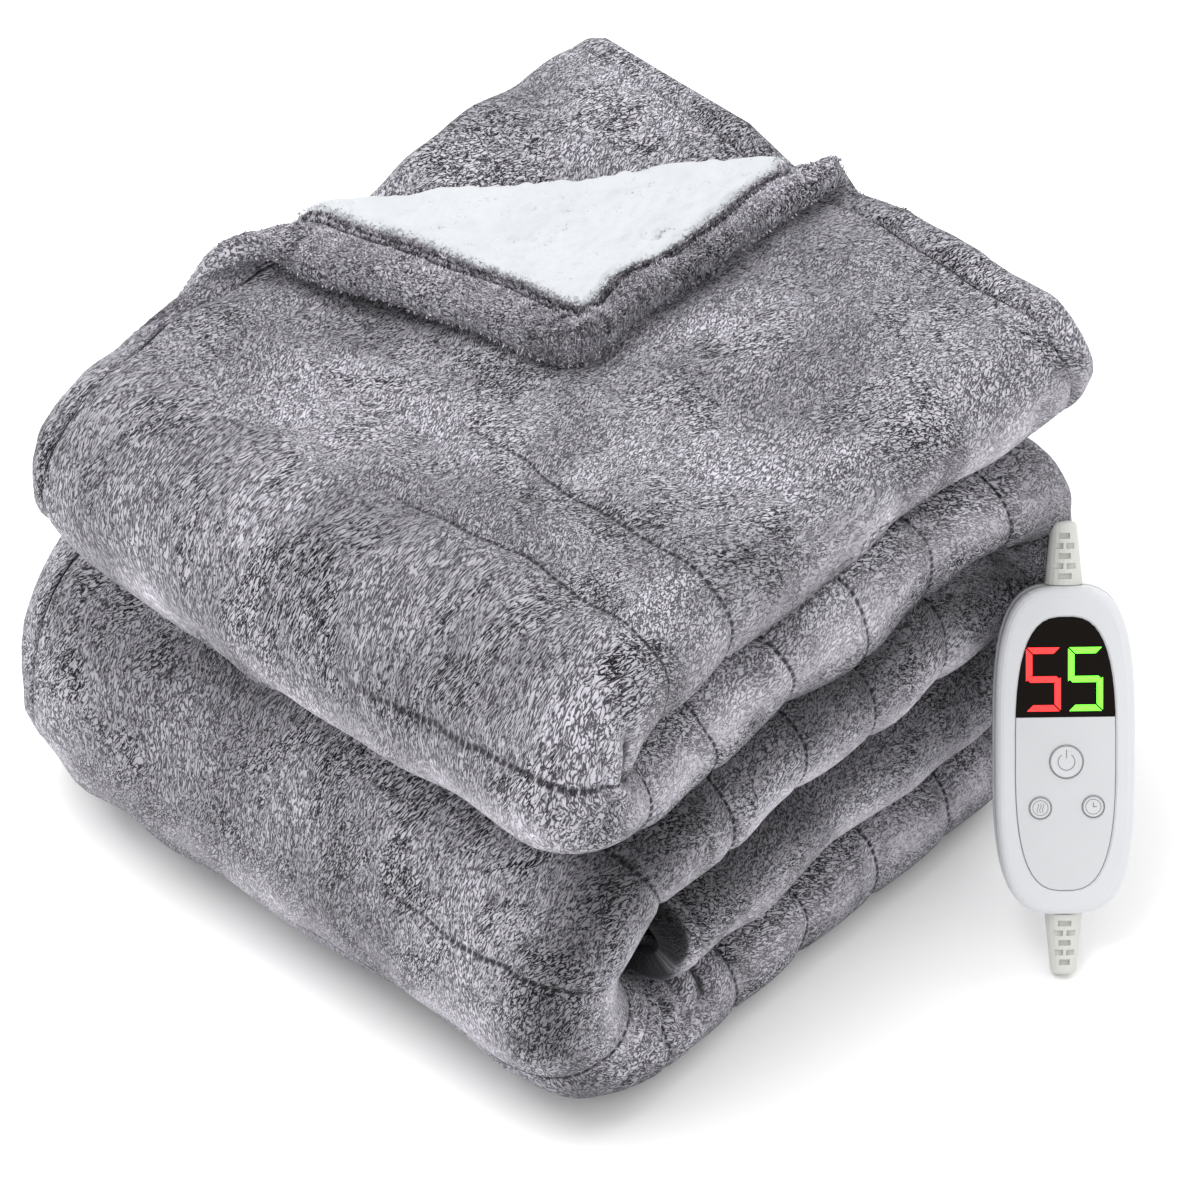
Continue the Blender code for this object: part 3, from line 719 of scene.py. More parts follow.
    def quilted(self, u: Array, v: Array) -> Array:
        """Share of a flat point that is quilted in channels.

        Args:
            u: Flat place across.
            v: Flat place along.

        Returns:
            The share.
        """
        inside = smoothstep(self.hem_width, self.hem_width + self.relief_fade, u)
        last = self.cloth.length - self.cloth.runs[-1].length
        inside *= 1.0 - smoothstep(last - self.channel_fade, last, v)
        return inside * smoothstep(self.plain_start, self.plain_start + self.channel_fade, v)

    def stitch_shows(self, u: Array, v: Array) -> Array:
        """Share of a stitched line that shows: the pile hides it away from the rim.

        Args:
            u: Flat place across.
            v: Flat place along.

        Returns:
            The share.
        """
        line = np.round(v / self.channel_pitch) * self.channel_pitch
        wander = self.wander.lift(np.stack([line, 0.2 * u], axis=1))
        return self.quilted(u, v) * smoothstep(*self.SHOWN, u + wander)

    def half_thickness(self, u: Array, v: Array) -> Array:
        """Distance from the middle of the cloth to either face.

        Args:
            u: Flat place across.
            v: Flat place along.

        Returns:
            The half thickness.
        """
        inward = self.inward(u, v)
        flat = np.stack([u, v], axis=1)
        half = self.hem_profile(inward)
        hem = self.hem_mask(u, v) * smoothstep(0.0, 0.006, inward)
        strip = self.strip_pucker * self.strip_mask(inward)
        half += hem * self.pucker.lift(flat) + strip * self.pucker.lift(flat, 1)
        half += self.channels(u, v)
        pressed = self.PRESSED.share(self.cloth.past_crease(u, v))
        half -= self.press * self.hem_half * hem * pressed
        half += self.knot * self.KNOT.share(np.hypot(u, v)) * smoothstep(0.0, 0.004, inward)
        return half + sum(crease.relief(flat) for crease in CREASES)

    def channels(self, u: Array, v: Array) -> Array:
        """Relief of the channels and of the stitching between them.

        Args:
            u: Flat place across.
            v: Flat place along.

        Returns:
            Its height at each place.
        """
        distance = self.channel_distance(v)
        swell = 2.0 * np.sin(math.pi * distance / self.channel_pitch) ** 0.8 - 1.0
        rim = bell(u - (self.cloth.top_end + self.cloth.rim_end) / 2, self.rim_reach)
        groove = self.channel_groove + self.rim_pinch * rim
        relief = self.channel_relief * (1.0 - self.rim_calm * rim) * swell
        relief -= groove * bell(distance, self.groove_width)
        shown = self.hidden_relief + (1.0 - self.hidden_relief) * self.stitch_shows(u, v)
        return self.quilted(u, v) * shown * relief

    def columns(self) -> Array:
        """Grid lines across the cloth, close together on the hem and the rims.

        Returns:
            Their places.
        """
        cloth = self.cloth
        stops = ((0.24, 0.0074), (cloth.top_end, 0.0048), (0.338, 0.0040), (0.370, 0.0021),
                 (cloth.rim_end, 0.0040), (cloth.bottom_end, 0.016), (cloth.tuck_end, 0.0055),
                 (cloth.width, 0.050))
        values = list(HEM_LINES)
        for end, step in stops:
            values += spread(values[-1], end, step)
        return np.array(values)

    def rows(self) -> Array:
        """Grid lines along the cloth, close together on the hem and the channels' stitching.

        Returns:
            Their places.
        """
        hem = list(HEM_LINES)
        values = hem + spread(hem[-1], self.plain_start, 0.0068)
        values += spread(0.345, 0.415, 0.0023) + spread(1.185, 1.285, 0.0026)
        steps = (-0.0190, -0.0120, -0.0065, -0.0028, 0.0, 0.0028, 0.0065, 0.0120, 0.0190, 0.0270)
        last = int(self.cloth.length / self.channel_pitch) + 1
        first = int(self.plain_start / self.channel_pitch)
        for number in range(first, last + 1):
            values += [number * self.channel_pitch + step for step in steps]
        inside = [value for value in values if value < self.cloth.length - hem[-1]]
        rows = np.unique(np.array(inside + [self.cloth.length - value for value in hem]))
        return rows[np.concatenate([[True], np.diff(rows) > self.row_least])]

    def skin(self) -> Object:
        """Make the plush skin, closed all round.

        Returns:
            The skin.
        """
        rows, columns = self.rows(), self.columns()
        u, v = (grid.ravel() for grid in np.meshgrid(columns, rows))
        half = self.half_thickness(u, v)
        points = np.concatenate([self.place(u, v, half), self.place(u, v, -half)])
        count = len(u)
        index = np.arange(count).reshape(len(rows), len(columns))
        top = grid_faces(index)
        bottom = top[:, [0, 3, 2, 1]] + count
        walls = [
            self.wall(index[:, 0], count, True),
            self.wall(index[:, -1], count, False),
            self.wall(index[0], count, False),
            self.wall(index[-1], count, True),
        ]
        faces = np.concatenate([top, bottom, *walls])
        long = self.cloth.length
        along = np.where(v > long / 2, long - self.unrolled(long - v), self.unrolled(v))
        flat = np.tile(np.stack([self.unrolled(u), along], axis=1), (2, 1))
        item = make_mesh("blanket_skin", points, faces, flat)
        flat_place = np.stack([u, v], axis=1)
        # Painted shade in the creases, and painted light and shade on the folds, which the plush
        # material reads per vertex
        shadow = sum(crease.shadow(flat_place) for crease in CREASES)
        marks = {"crease": shadow, "quilted": self.stitch_shows(u, v), "painted_light_and_shade": self.painted_light_and_shade(u, v)}
        for name, values in marks.items():
            add_values(item, name, np.tile(values, 2))
        return item

    @staticmethod
    def wall(line: Array, count: int, flip: bool) -> Array:
        """Faces that close the skin along one line of its grid.

        Args:
            line: Its vertex numbers on the plush face.
            count: Number of vertices on that face.
            flip: Whether the faces turn the other way.

        Returns:
            The faces.
        """
        first, second = line[:-1], line[1:]
        quads = [first, second, second + count, first + count]
        return np.stack(quads[::-1] if flip else quads, axis=-1)

    def painted_light_and_shade(self, u: Array, v: Array) -> Array:
        """Share of painted highlight on the crests of the folds, and below 0 for painted shade in
        the hollows and at the far end.

        Args:
            u: Flat place across.
            v: Flat place along.

        Returns:
            The share at each place.
        """
        cloth, half_turn = self.cloth, math.pi * self.cloth.ply_pitch
        # Painted highlight along the rim's crest, and painted shade in the hollow over it
        light, hollow = (
            bell(u - (cloth.top_end + spot.place * half_turn), spot.width)
            for spot in (self.RIM_LIGHT, self.RIM_HOLLOW)
        )
        start, turns = 0.0, np.zeros_like(v)
        for stretch in cloth.runs:
            if stretch.kind is not Run.STRAIGHT:
                middle = start + self.TURN_LIGHT.place * stretch.length
                width = self.TURN_LIGHT.width * stretch.radius
                turns = np.maximum(turns, bell(v - middle, width))
            start += stretch.length
        upper, lower = (self.BROKEN * spot.share(v) for spot in self.GATHERS)
        light *= 1.0 - upper - lower
        rim = smoothstep(cloth.top_end, cloth.top_end + self.RIM_START, u)
        turns *= 1.0 - self.BROKEN * rim
        hollow = self.HOLLOW_SHARE * hollow * smoothstep(*self.HOLLOW_RISE, v)
        # Painted shade at the far end, inside the last fold
        dark_end = self.FAR_SHARE * (1.0 - smoothstep(*self.FAR_DARK, cloth.length - v))
        return np.maximum(light, self.TURN_SHARE * turns) - hollow - dark_end

    def fleece(self) -> Object:
        """Make the white fleece face of the turned corner, inside the hem.

        Returns:
            The fleece face, a closed sheet.
        """
        inset, edge = self.fleece_inset, self.fleece_rim
        outward, sideways = (np.linspace(0.0, 1.0, lines) for lines in self.fleece_grid)
        u, v = self.corner_patch(outward[1:, None], sideways[None, :], inset)
        u = np.concatenate([[inset], u.ravel()])
        v = np.concatenate([[inset], v.ravel()])
        flat = np.stack([u, v], axis=1)
        inner = self.cloth.thickness / 2 + self.fleece_gap
        rim = np.minimum(np.minimum(u, v) - inset, edge) / edge
        least, inside = self.fleece_depth
        rise = inside + self.fleece_curl.lift(flat) + self.fleece_lump.lift(flat)
        depth = least + rise * np.sqrt(np.clip(rim, 0.0, 1.0))
        outer = self.place(u, v, -inner - depth)
        under = self.place(u, v, np.full(u.shape, -inner))
        count = len(u)
        index = 1 + np.arange(count - 1).reshape(len(outward) - 1, len(sideways))
        quads = grid_faces(index)
        fan = np.stack([np.zeros_like(index[0, 1:]), index[0, :-1], index[0, 1:]], axis=-1)
        border = np.concatenate([index[:, 0], index[-1, 1:], index[::-1, -1][1:], [0]])
        after = np.roll(border, -1)
        wall = np.stack([after, border, border + count, after + count], axis=-1)
        faces = [*quads.tolist(), *(quads[:, ::-1] + count).tolist()]
        faces += [*fan.tolist(), *(fan[:, ::-1] + count).tolist(), *wall.tolist()]
        points = np.concatenate([outer, under])
        return make_mesh("fleece_face", points, faces, np.tile(flat, (2, 1)))

    def corner_patch(self, outward: Array, sideways: Array, inset: float) -> tuple[Array, Array]:
        """Flat places on the turned corner, from its tip to round its crease.

        Args:
            outward: Share of the way from the tip to the crease.
            sideways: Share of the way from the end hem to the side hem.
            inset: Distance from the cloth's edge.

        Returns:
            Places across and along.
        """
        cloth = self.cloth
        past = math.pi * cloth.crease_radius / 7
        reach = 1.0 - past * cloth.crease_scale
        u_end = cloth.crease_across * (reach - inset / cloth.crease_along)
        v_end = cloth.crease_along * (reach - inset / cloth.crease_across)
        u = inset + outward * (1.0 - sideways) * (u_end - inset)
        v = inset + outward * sideways * (v_end - inset)
        return u, v


def grid_faces(index: Array) -> Array:
    """Four-sided faces of a grid of vertex numbers, as seen from the plush face."""
    corners = [index[:-1, :-1], index[1:, :-1], index[1:, 1:], index[:-1, 1:]]
    return np.stack(corners, axis=-1).reshape(-1, 4)


def make_mesh(name: str, points: Array, faces: list | Array, flat: Array) -> Object:
    """Make a smooth mesh object at the origin.

    Args:
        name: Name of the object.
        points: Its vertices, one row each.
        faces: Vertex numbers of each face.
        flat: Flat place of each vertex on the cloth, for its UV map.

    Returns:
        The object, its faces pointing outwards.
    """
    mesh = bpy.data.meshes.new(name)
    mesh.from_pydata(points.tolist(), [], faces if isinstance(faces, list) else faces.tolist())
    mesh.shade_smooth()
    layer = mesh.uv_layers.new(name=CLOTH_UV)
    corners = np.zeros(len(mesh.loops), int)
    mesh.loops.foreach_get("vertex_index", corners)
    layer.data.foreach_set("uv", flat[corners].ravel().astype(np.float32))
    item = bpy.data.objects.new(name, mesh)
    bpy.context.scene.collection.objects.link(item)
    return item


def add_values(item: Object, name: str, values: Array) -> None:
    """Give each vertex of a piece a value that its material reads by name."""
    attribute = item.data.attributes.new(name, "FLOAT", "POINT")
    attribute.data.foreach_set("value", values.astype(np.float32))


@dataclass
class Pile:
    """Fibres standing on a face of the blanket."""

    blanket: Blanket
    name: str
    # 1 on the plush face, -1 on the fleece face, or one of them for each tuft
    side: int | Array
    length: float | Array  # usual length of a fibre; one value, or one for each tuft
    width: float  # width of a tuft of fibres at its foot
    lean: float | Array  # how far a tuft leans, in radians; one value, or one for each tuft
    curl: float  # how far its tip bends over, as a share of its length
    # height of its foot over the cloth's middle; None for the cloth's own face
    root: float | None = None
    seed: int = 1  # picks how each tuft stands
    LEANS: ClassVar[Pair] = (0.6, 1.3)  # least and greatest lean, as shares of the usual one
    CURLS: ClassVar[Pair] = (0.4, 1.3)  # the same for the curl
    LENGTHS: ClassVar[Pair] = (0.6, 1.25)  # the same for the length
    WIDTHS: ClassVar[Pair] = (0.7, 1.2)  # the same for the width
    TURN: ClassVar[float] = 0.6  # how far a tuft's flat side turns at random
    BEND: ClassVar[float] = 0.55  # share of the length at which it bends
    TAPER: ClassVar[float] = 0.8  # width that is left there, as a share of the foot's
    # how near the tip each of its five vertices is
    TIPS: ClassVar[tuple[float, ...]] = (0.0, 0.0, 0.6, 0.6, 1.0)
    STEP: ClassVar[float] = 0.0008  # distance over which the cloth's direction is measured

    def grow(self, u: Array, v: Array) -> Object:
        """Make the tufts.

        Args:
            u: Flat place of each across.
            v: Flat place of each along.

        Returns:
            The pile, one mesh.
        """
        random = np.random.default_rng(self.seed)
        count = len(u)
        if self.root is None:
            half = self.blanket.half_thickness(u, v)
        else:
            half = np.full(count, self.root)
        t = self.side * half
        foot = self.blanket.place(u, v, t)
        normal = unit(self.blanket.place(u, v, t + self.side * self.STEP) - foot)
        tangent = unit(self.blanket.place(u + self.STEP, v, t) - foot)
        other = np.cross(normal, tangent)
        angle = random.uniform(0, 2 * math.pi, count)[:, None]
        sideways = tangent * np.cos(angle) + other * np.sin(angle)
        lean = (self.lean * random.uniform(*self.LEANS, count))[:, None]
        along = normal * np.cos(lean) + sideways * np.sin(lean)
        bend = self.curl * random.uniform(*self.CURLS, count)[:, None]
        swirl = random.uniform(0, 2 * math.pi, count)[:, None]
        curl_way = sideways * np.cos(swirl) + np.cross(along, sideways) * np.sin(swirl)
        tip_way = unit(along + bend * curl_way)
        length = (self.length * random.uniform(*self.LENGTHS, count))[:, None]
        across = unit(np.cross(along, normal + self.TURN * random.normal(size=(count, 3))))
        across *= self.width / 2 * random.uniform(*self.WIDTHS, count)[:, None]
        foot = foot - normal * self.width
        middle = foot + along * length * self.BEND
        tip = middle + tip_way * length * (1.0 - self.BEND)
        high = across * self.TAPER
        corners = [foot - across, foot + across, middle + high, middle - high, tip]
        points = np.stack(corners, axis=1).reshape(-1, 3)
        base = len(corners) * np.arange(count)[:, None]
        faces = [*(base + np.array([0, 1, 2, 3])).tolist(), *(base + np.array([3, 2, 4])).tolist()]
        flat = np.repeat(np.stack([u, v], axis=1), len(corners), axis=0)
        item = make_mesh(self.name, points, faces, flat)
        add_values(item, "tip", np.tile(self.TIPS, count))
        return item


def unit(rows: Array) -> Array:
    """Directions of the rows, each of length 1."""
    return rows / np.maximum(np.linalg.norm(rows, axis=1, keepdims=True), 1e-12)


class Ramp(NamedTuple):
    """Smooth change of one value with another."""

    low: float  # where it starts
    high: float  # where it ends
    start: float = 0.0  # its value up to there
    end: float = 1.0  # its value from there on


class Speckle(NamedTuple):
    """Random pattern of a Noise Texture node."""

    scale: float  # patches to the metre
    detail: float = 3.0  # number of finer layers
    distortion: float = 0.0  # how far it is swirled
    roughness: float = 0.5  # share of the finer layers


class Tree:
    """Adds and links nodes in one node tree."""

    def __init__(self, tree: NodeTree) -> None:
        """Work on a material's or a group's tree."""
        self.tree = tree

    def fill(self, node: Node, sockets: dict) -> None:
        """Link or set a node's inputs.

        Args:
            node: The node.
            sockets: A value or an output to link, for each input by name or number.
        """
        for name, value in sockets.items():
            if isinstance(value, NodeSocket):
                self.tree.links.new(value, node.inputs[name])
            else:
                node.inputs[name].default_value = value

    def add(self, kind: str, sockets: dict | None = None, **settings: object) -> Node:
        """Add a node.

        Args:
            kind: Its type, without the leading ShaderNode.
            sockets: A value or an output to link, for each input by name or number.
            settings: Its own settings.

        Returns:
            The node.
        """
        node = self.tree.nodes.new("ShaderNode" + kind)
        for name, value in settings.items():
            setattr(node, name, value)
        self.fill(node, sockets or {})
        return node

    def math(self, operation: str, first: object, second: object = 0.0) -> NodeSocket:
        """Output of a Math node."""
        return self.add("Math", {0: first, 1: second}, operation=operation).outputs[0]

    def read(self, name: str) -> NodeSocket:
        """Value that each vertex of the piece has under a name."""
        return self.add("Attribute", attribute_name=name).outputs["Fac"]

    def flat(self) -> NodeSocket:
        """Flat place on the cloth."""
        return self.add("UVMap", uv_map=CLOTH_UV).outputs[0]

    def noise(self, vector: object, speckle: Speckle, scale: object = None) -> NodeSocket:
        """Value of a Noise Texture node.

        Args:
            vector: The place.
            speckle: Its pattern.
            scale: Output that gives the scale instead; None for the pattern's own.

        Returns:
            The value.
        """
        sockets = {"Vector": vector, "Scale": speckle.scale if scale is None else scale,
                   "Detail": speckle.detail, "Distortion": speckle.distortion,
                   "Roughness": speckle.roughness}
        return self.add("TexNoise", sockets).outputs["Fac"]

    def remap(self, value: object, ramp: Ramp) -> NodeSocket:
        """Output of a smooth Map Range node.

        Args:
            value: What it changes.
            ramp: How it changes.

        Returns:
            The output.
        """
        sockets = {"Value": value, "From Min": ramp.low, "From Max": ramp.high,
                   "To Min": ramp.start, "To Max": ramp.end}
        node = self.add("MapRange", sockets, interpolation_type="SMOOTHSTEP")
        return node.outputs["Result"]

    def blend(self, share: object, first: object, second: object, mode: str = "MIX") -> NodeSocket:
        """Colour output of a Mix node.

        Args:
            share: Share of the second colour.
            first: The first colour, a value or an output.
            second: The second one.
            mode: How they are mixed.

        Returns:
            The colour.
        """
        node = self.add("Mix", data_type="RGBA", blend_type=mode)
        number = {socket.identifier: place for place, socket in enumerate(node.inputs)}
        named = {"Factor_Float": share, "A_Color": first, "B_Color": second}
        self.fill(node, {number[name]: value for name, value in named.items()})
        return next(item for item in node.outputs if item.identifier == "Result_Color")


def rgba(colour: Colour) -> tuple[float, float, float, float]:
    """Colour with full alpha."""
    return (*colour, 1.0)


class Groups:
    """Shared effects, each built once as a shader node group."""

    made: ClassVar[dict[str, NodeTree]] = {}
    # turn and pattern of the two ways that the tufts lie
    STROKES: ClassVar[tuple[tuple[float, Speckle], ...]] = (
        (0.25, Speckle(1.0, 2.0, 0.5, 0.55)),
        (-0.40, Speckle(1.0, 2.0, 0.7, 0.55)),
    )
    # pattern of the patches that lie one way; its scale comes from the input
    PATCHES: ClassVar[Speckle] = Speckle(20.0, 5.0, 0.9, 0.6)
    APART: ClassVar[Ramp] = Ramp(0.0, 0.115)  # from the middle of a gap to the top of a tuft
    # from patches of the first way to patches of the second
    TURNED: ClassVar[Ramp] = Ramp(0.40, 0.60)
    # pattern of the fine grain; its scale comes from the input
    GRAIN: ClassVar[Speckle] = Speckle(2600.0, 2.0)
    WEAR: ClassVar[Speckle] = Speckle(38.0, 4.0, 0.4)

    @classmethod
    def start(cls, name: str, inputs: dict[str, float | None],
              outputs: tuple[str, ...]) -> tuple[Tree, Node, Node]:
        """Make an empty group.

        Args:
            name: Its name.
            inputs: Default of each input, None for a place.
            outputs: Names of its values.

        Returns:
            Its Tree, its input node and its output node.
        """
        group = bpy.data.node_groups.new(name, "ShaderNodeTree")
        for label, default in inputs.items():
            kind = "NodeSocketVector" if default is None else "NodeSocketFloat"
            socket = group.interface.new_socket(label, in_out="INPUT", socket_type=kind)
            if default is not None:
                socket.default_value = default
        for label in outputs:
            group.interface.new_socket(label, in_out="OUTPUT", socket_type="NodeSocketFloat")
        cls.made[name] = group
        entry, leave = (group.nodes.new("NodeGroup" + way) for way in ("Input", "Output"))
        return Tree(group), entry, leave

    @classmethod
    def pile(cls) -> NodeTree:
        """Crushed pile: tufts lying one way or another, in patches, with gaps between them that the
        material paints in shade.

        Returns:
            The group.
        """
        if "pile" in cls.made:
            return cls.made["pile"]
        inputs = {"Vector": None, "Across": 760.0, "Along": 290.0, "Patch": cls.PATCHES.scale}
        tree, entry, leave = cls.start("pile", inputs, ("Height", "Patches"))
        vector, across, along, patches = entry.outputs[:4]
        scale = tree.add("CombineXYZ", {0: across, 1: along, 2: 1.0})
        layers = []
        for turn, strokes in cls.STROKES:
            turned = tree.add("Mapping", {"Vector": vector, "Rotation": (0.0, 0.0, turn)})
            stretched = tree.add("VectorMath", {0: turned.outputs[0], 1: scale.outputs[0]},
                                 operation="MULTIPLY")
            wave = tree.noise(stretched.outputs[0], strokes)
            apart = tree.math("ABSOLUTE", tree.math("SUBTRACT", wave, 0.5))
            layers.append(tree.remap(apart, cls.APART))
        patch = tree.noise(vector, cls.PATCHES, patches)
        share = tree.remap(patch, cls.TURNED)
        height = tree.add("Mix", {0: share, 2: layers[0], 3: layers[1]}).outputs[0]
        tree.fill(leave, {"Height": height, "Patches": patch})
        return cls.made["pile"]

    @classmethod
    def grain(cls) -> NodeTree:
        """Fine grain of moulded plastic, with faint wear.

        Returns:
            The group.
        """
        if "grain" in cls.made:
            return cls.made["grain"]
        inputs = {"Vector": None, "Scale": cls.GRAIN.scale}
        tree, entry, leave = cls.start("grain", inputs, ("Height", "Wear"))
        vector, scale = entry.outputs[:2]
        height, wear = tree.noise(vector, cls.GRAIN, scale), tree.noise(vector, cls.WEAR)
        tree.fill(leave, {"Height": height, "Wear": wear})
        return cls.made["grain"]


def new_material(name: str) -> tuple[Material, Tree, Node]:
    """Start a material.

    Args:
        name: Its name.

    Returns:
        The material, its Tree and its shader.
    """
    material = bpy.data.materials.new(name)
    material.use_nodes = True
    return material, Tree(material.node_tree), material.node_tree.nodes["Principled BSDF"]


@dataclass(frozen=True)
class PlushFinish:
    """Crushed plush."""

    name: str
    light: Colour  # colour of the pile's tips
    body: Colour  # colour of lying pile
    dark: Colour  # colour of the painted shade between the tufts, also used in the creases and on the stitching
    across: float = 760.0  # tufts to the metre, across them
    along: float = 290.0  # tufts to the metre, along them
    bump: float = 0.0006  # height of the relief
    stitched: bool = True  # whether it has lines of stitching
    sheen: float = 0.22  # weight of the soft sheen
    # colour of the painted highlight on the crests of the folds
    crest_highlight: Colour = (0.60, 0.575, 0.635)

    BROAD: ClassVar[Speckle] = Speckle(11.0, 5.0, 0.7, 0.6)      # slow changes of shade
    CRUSHED: ClassVar[Ramp] = Ramp(0.36, 0.64, 0.62, 1.0)        # how clear a patch's tufts are
    SUNK: ClassVar[Ramp] = Ramp(0.42, 0.64, 0.0, 0.06)           # how much deeper they lie
    TUFTS: ClassVar[Ramp] = Ramp(0.05, 0.88)                     # from the gaps to the tips
    BROAD_SHADE: ClassVar[Ramp] = Ramp(0.34, 0.66, 0.70, 1.24)
    PATCH_SHADE: ClassVar[Ramp] = Ramp(0.34, 0.66, 1.20, 0.76)
    CREST_SPREAD: ClassVar[Ramp] = Ramp(0.25, 0.60, 0.45, 1.0)   # the crests' painted highlight is stronger in places
    CREST_TUFTS: ClassVar[Ramp] = Ramp(0.0, 0.55, 0.30, 1.0)
    # strength of the painted highlight on the crests
    CREST_SHARE: ClassVar[float] = 0.92
    HOLLOW_SHADE: ClassVar[Ramp] = Ramp(-1.4, 0.0, 0.20, 0.96)
    # painted shade at the far end
    FAR_END: ClassVar[Ramp] = Ramp(-1.4, -0.8, 0.85, 0.0)
    FOLD_LIGHT: ClassVar[Ramp] = Ramp(-1.0, 0.0, 1.15, 1.0)      # painted highlight on the swelling by a crease
    FOLD_DARK: ClassVar[Ramp] = Ramp(0.0, 1.0, 0.0, 0.88)        # painted shade in its groove
    TIP_SHADE: ClassVar[Ramp] = Ramp(0.0, 1.0, 0.34, 1.55)       # from a tuft's foot to its tip
    THREAD: ClassVar[Ramp] = Ramp(0.0004, 0.0015, 1.0, 0.0)      # from a line's middle outwards
    HEM_THREAD: ClassVar[Ramp] = Ramp(0.0004, 0.0020, 1.0, 0.0)
    THREAD_SHARE: ClassVar[float] = 0.90
    THREAD_DENT: ClassVar[float] = 1.5
    WOBBLE: ClassVar[Speckle] = Speckle(45.0, 2.0)               # a line isn't quite straight
    WOBBLE_REACH: ClassVar[float] = 0.004
    DASH: ClassVar[Ramp] = Ramp(0.0003, 0.0010, 0.30, 1.0)       # between two stitches and on one
    DASH_HALF: ClassVar[float] = 0.0019

    def material(self, blanket: Blanket) -> Material:
        """Make the material.

        Args:
            blanket: Gives the places of the lines of stitching.

        Returns:
            The material.
        """
        material, tree, shader = new_material(self.name)
        flat = tree.flat()
        sockets = {"Vector": flat, "Across": self.across, "Along": self.along}
        pile = tree.add("Group", sockets, node_tree=Groups.pile())
        height, patch = pile.outputs["Height"], pile.outputs["Patches"]
        deep = tree.math("SUBTRACT", height, tree.remap(patch, self.SUNK))
        # Painted shade in the gaps between the tufts, up to the colour of their tips
        tufts = tree.blend(tree.remap(deep, self.TUFTS), rgba(self.dark), rgba(self.light))
        colour = tree.blend(tree.remap(patch, self.CRUSHED), rgba(self.body), tufts)
        broad = tree.noise(flat, self.BROAD)
        shade = tree.math("MULTIPLY", tree.remap(broad, self.BROAD_SHADE),
                          tree.remap(patch, self.PATCH_SHADE))
        relief = height
        if self.stitched:
            colour, shade = self.folds(tree, colour, shade, deep, broad)
            line = self.stitching(tree, flat, blanket)
            # The lines of stitching take the dark colour of the gaps: painted shade in their dents
            thread = tree.math("MULTIPLY", line, self.THREAD_SHARE)
            colour = tree.blend(thread, colour, rgba(self.dark))
            relief = tree.math("SUBTRACT", height, tree.math("MULTIPLY", line, self.THREAD_DENT))
        else:
            shade = tree.math("MULTIPLY", shade, tree.remap(tree.read("tip"), self.TIP_SHADE))
        grey = tree.add("CombineColor", {0: shade, 1: shade, 2: shade}).outputs[0]
        bump = tree.add("Bump", {"Height": relief, "Strength": 1.0, "Distance": self.bump})
        tree.fill(shader, {
            "Base Color": tree.blend(1.0, colour, grey, "MULTIPLY"),
            "Normal": bump.outputs[0],
            "Roughness": 0.88,
            "Specular IOR Level": 0.18,
            "Sheen Weight": self.sheen,
            "Sheen Roughness": 0.38,
            "Sheen Tint": (0.86, 0.86, 0.92, 1.0),
        })
        return material

    def folds(self, tree: Tree, colour: object, shade: object, deep: object,
              broad: object) -> tuple[NodeSocket, NodeSocket]:
        """Painted highlights on the crests and beside the creases, painted shade in the hollows, at
        the far end and in the creases.

        Args:
            tree: The material's tree.
            colour: The pile's colour.
            shade: Its shade.
            deep: Height in the pile, from the gaps to the tips.
            broad: Slow changes of shade.

        Returns:
            The colour and the shade with them.
        """
        painted_light_and_shade, fold = tree.read("painted_light_and_shade"), tree.read("crease")
        dark, body = rgba(self.dark), rgba(self.body)
        # Painted highlight on the crests, with the tufts showing through it
        stands = tree.math("MULTIPLY", painted_light_and_shade, tree.remap(broad, self.CREST_SPREAD))
        tufts = tree.blend(tree.remap(deep, self.CREST_TUFTS), body, rgba(self.crest_highlight))
        colour = tree.blend(tree.math("MULTIPLY", stands, self.CREST_SHARE), colour, tufts)
        shade = tree.math("MULTIPLY", shade, tree.remap(painted_light_and_shade, self.HOLLOW_SHADE))
        colour = tree.blend(tree.remap(painted_light_and_shade, self.FAR_END), colour, dark)
        shade = tree.math("MULTIPLY", shade, tree.remap(fold, self.FOLD_LIGHT))
        return tree.blend(tree.remap(fold, self.FOLD_DARK), colour, dark), shade

    def stitching(self, tree: Tree, flat: object, blanket: Blanket) -> NodeSocket:
        """Lines of stitching, dashed, across the channels and along the hem.

        Args:
            tree: The material's tree.
            flat: The flat place.
            blanket: Gives the places of the lines.

        Returns:
            1 on the thread and in its dent, 0 elsewhere.
        """
        across, along = tree.add("SeparateXYZ", {0: flat}).outputs[:2]
        sway = tree.math("SUBTRACT", tree.noise(flat, self.WOBBLE), 0.5)
        swayed = tree.math("ADD", along, tree.math("MULTIPLY", sway, self.WOBBLE_REACH))
        distance = tree.math("PINGPONG", swayed, blanket.channel_pitch / 2)
        dash = tree.remap(tree.math("PINGPONG", across, self.DASH_HALF), self.DASH)
        thread = tree.math("MULTIPLY", tree.remap(distance, self.THREAD), dash)
        channel = tree.math("MULTIPLY", thread, tree.read("quilted"))
        inward = tree.math("MINIMUM", across, along)
        away = tree.math("ABSOLUTE", tree.math("SUBTRACT", inward, blanket.hem_width))
        return tree.math("MAXIMUM", channel, tree.remap(away, self.HEM_THREAD))


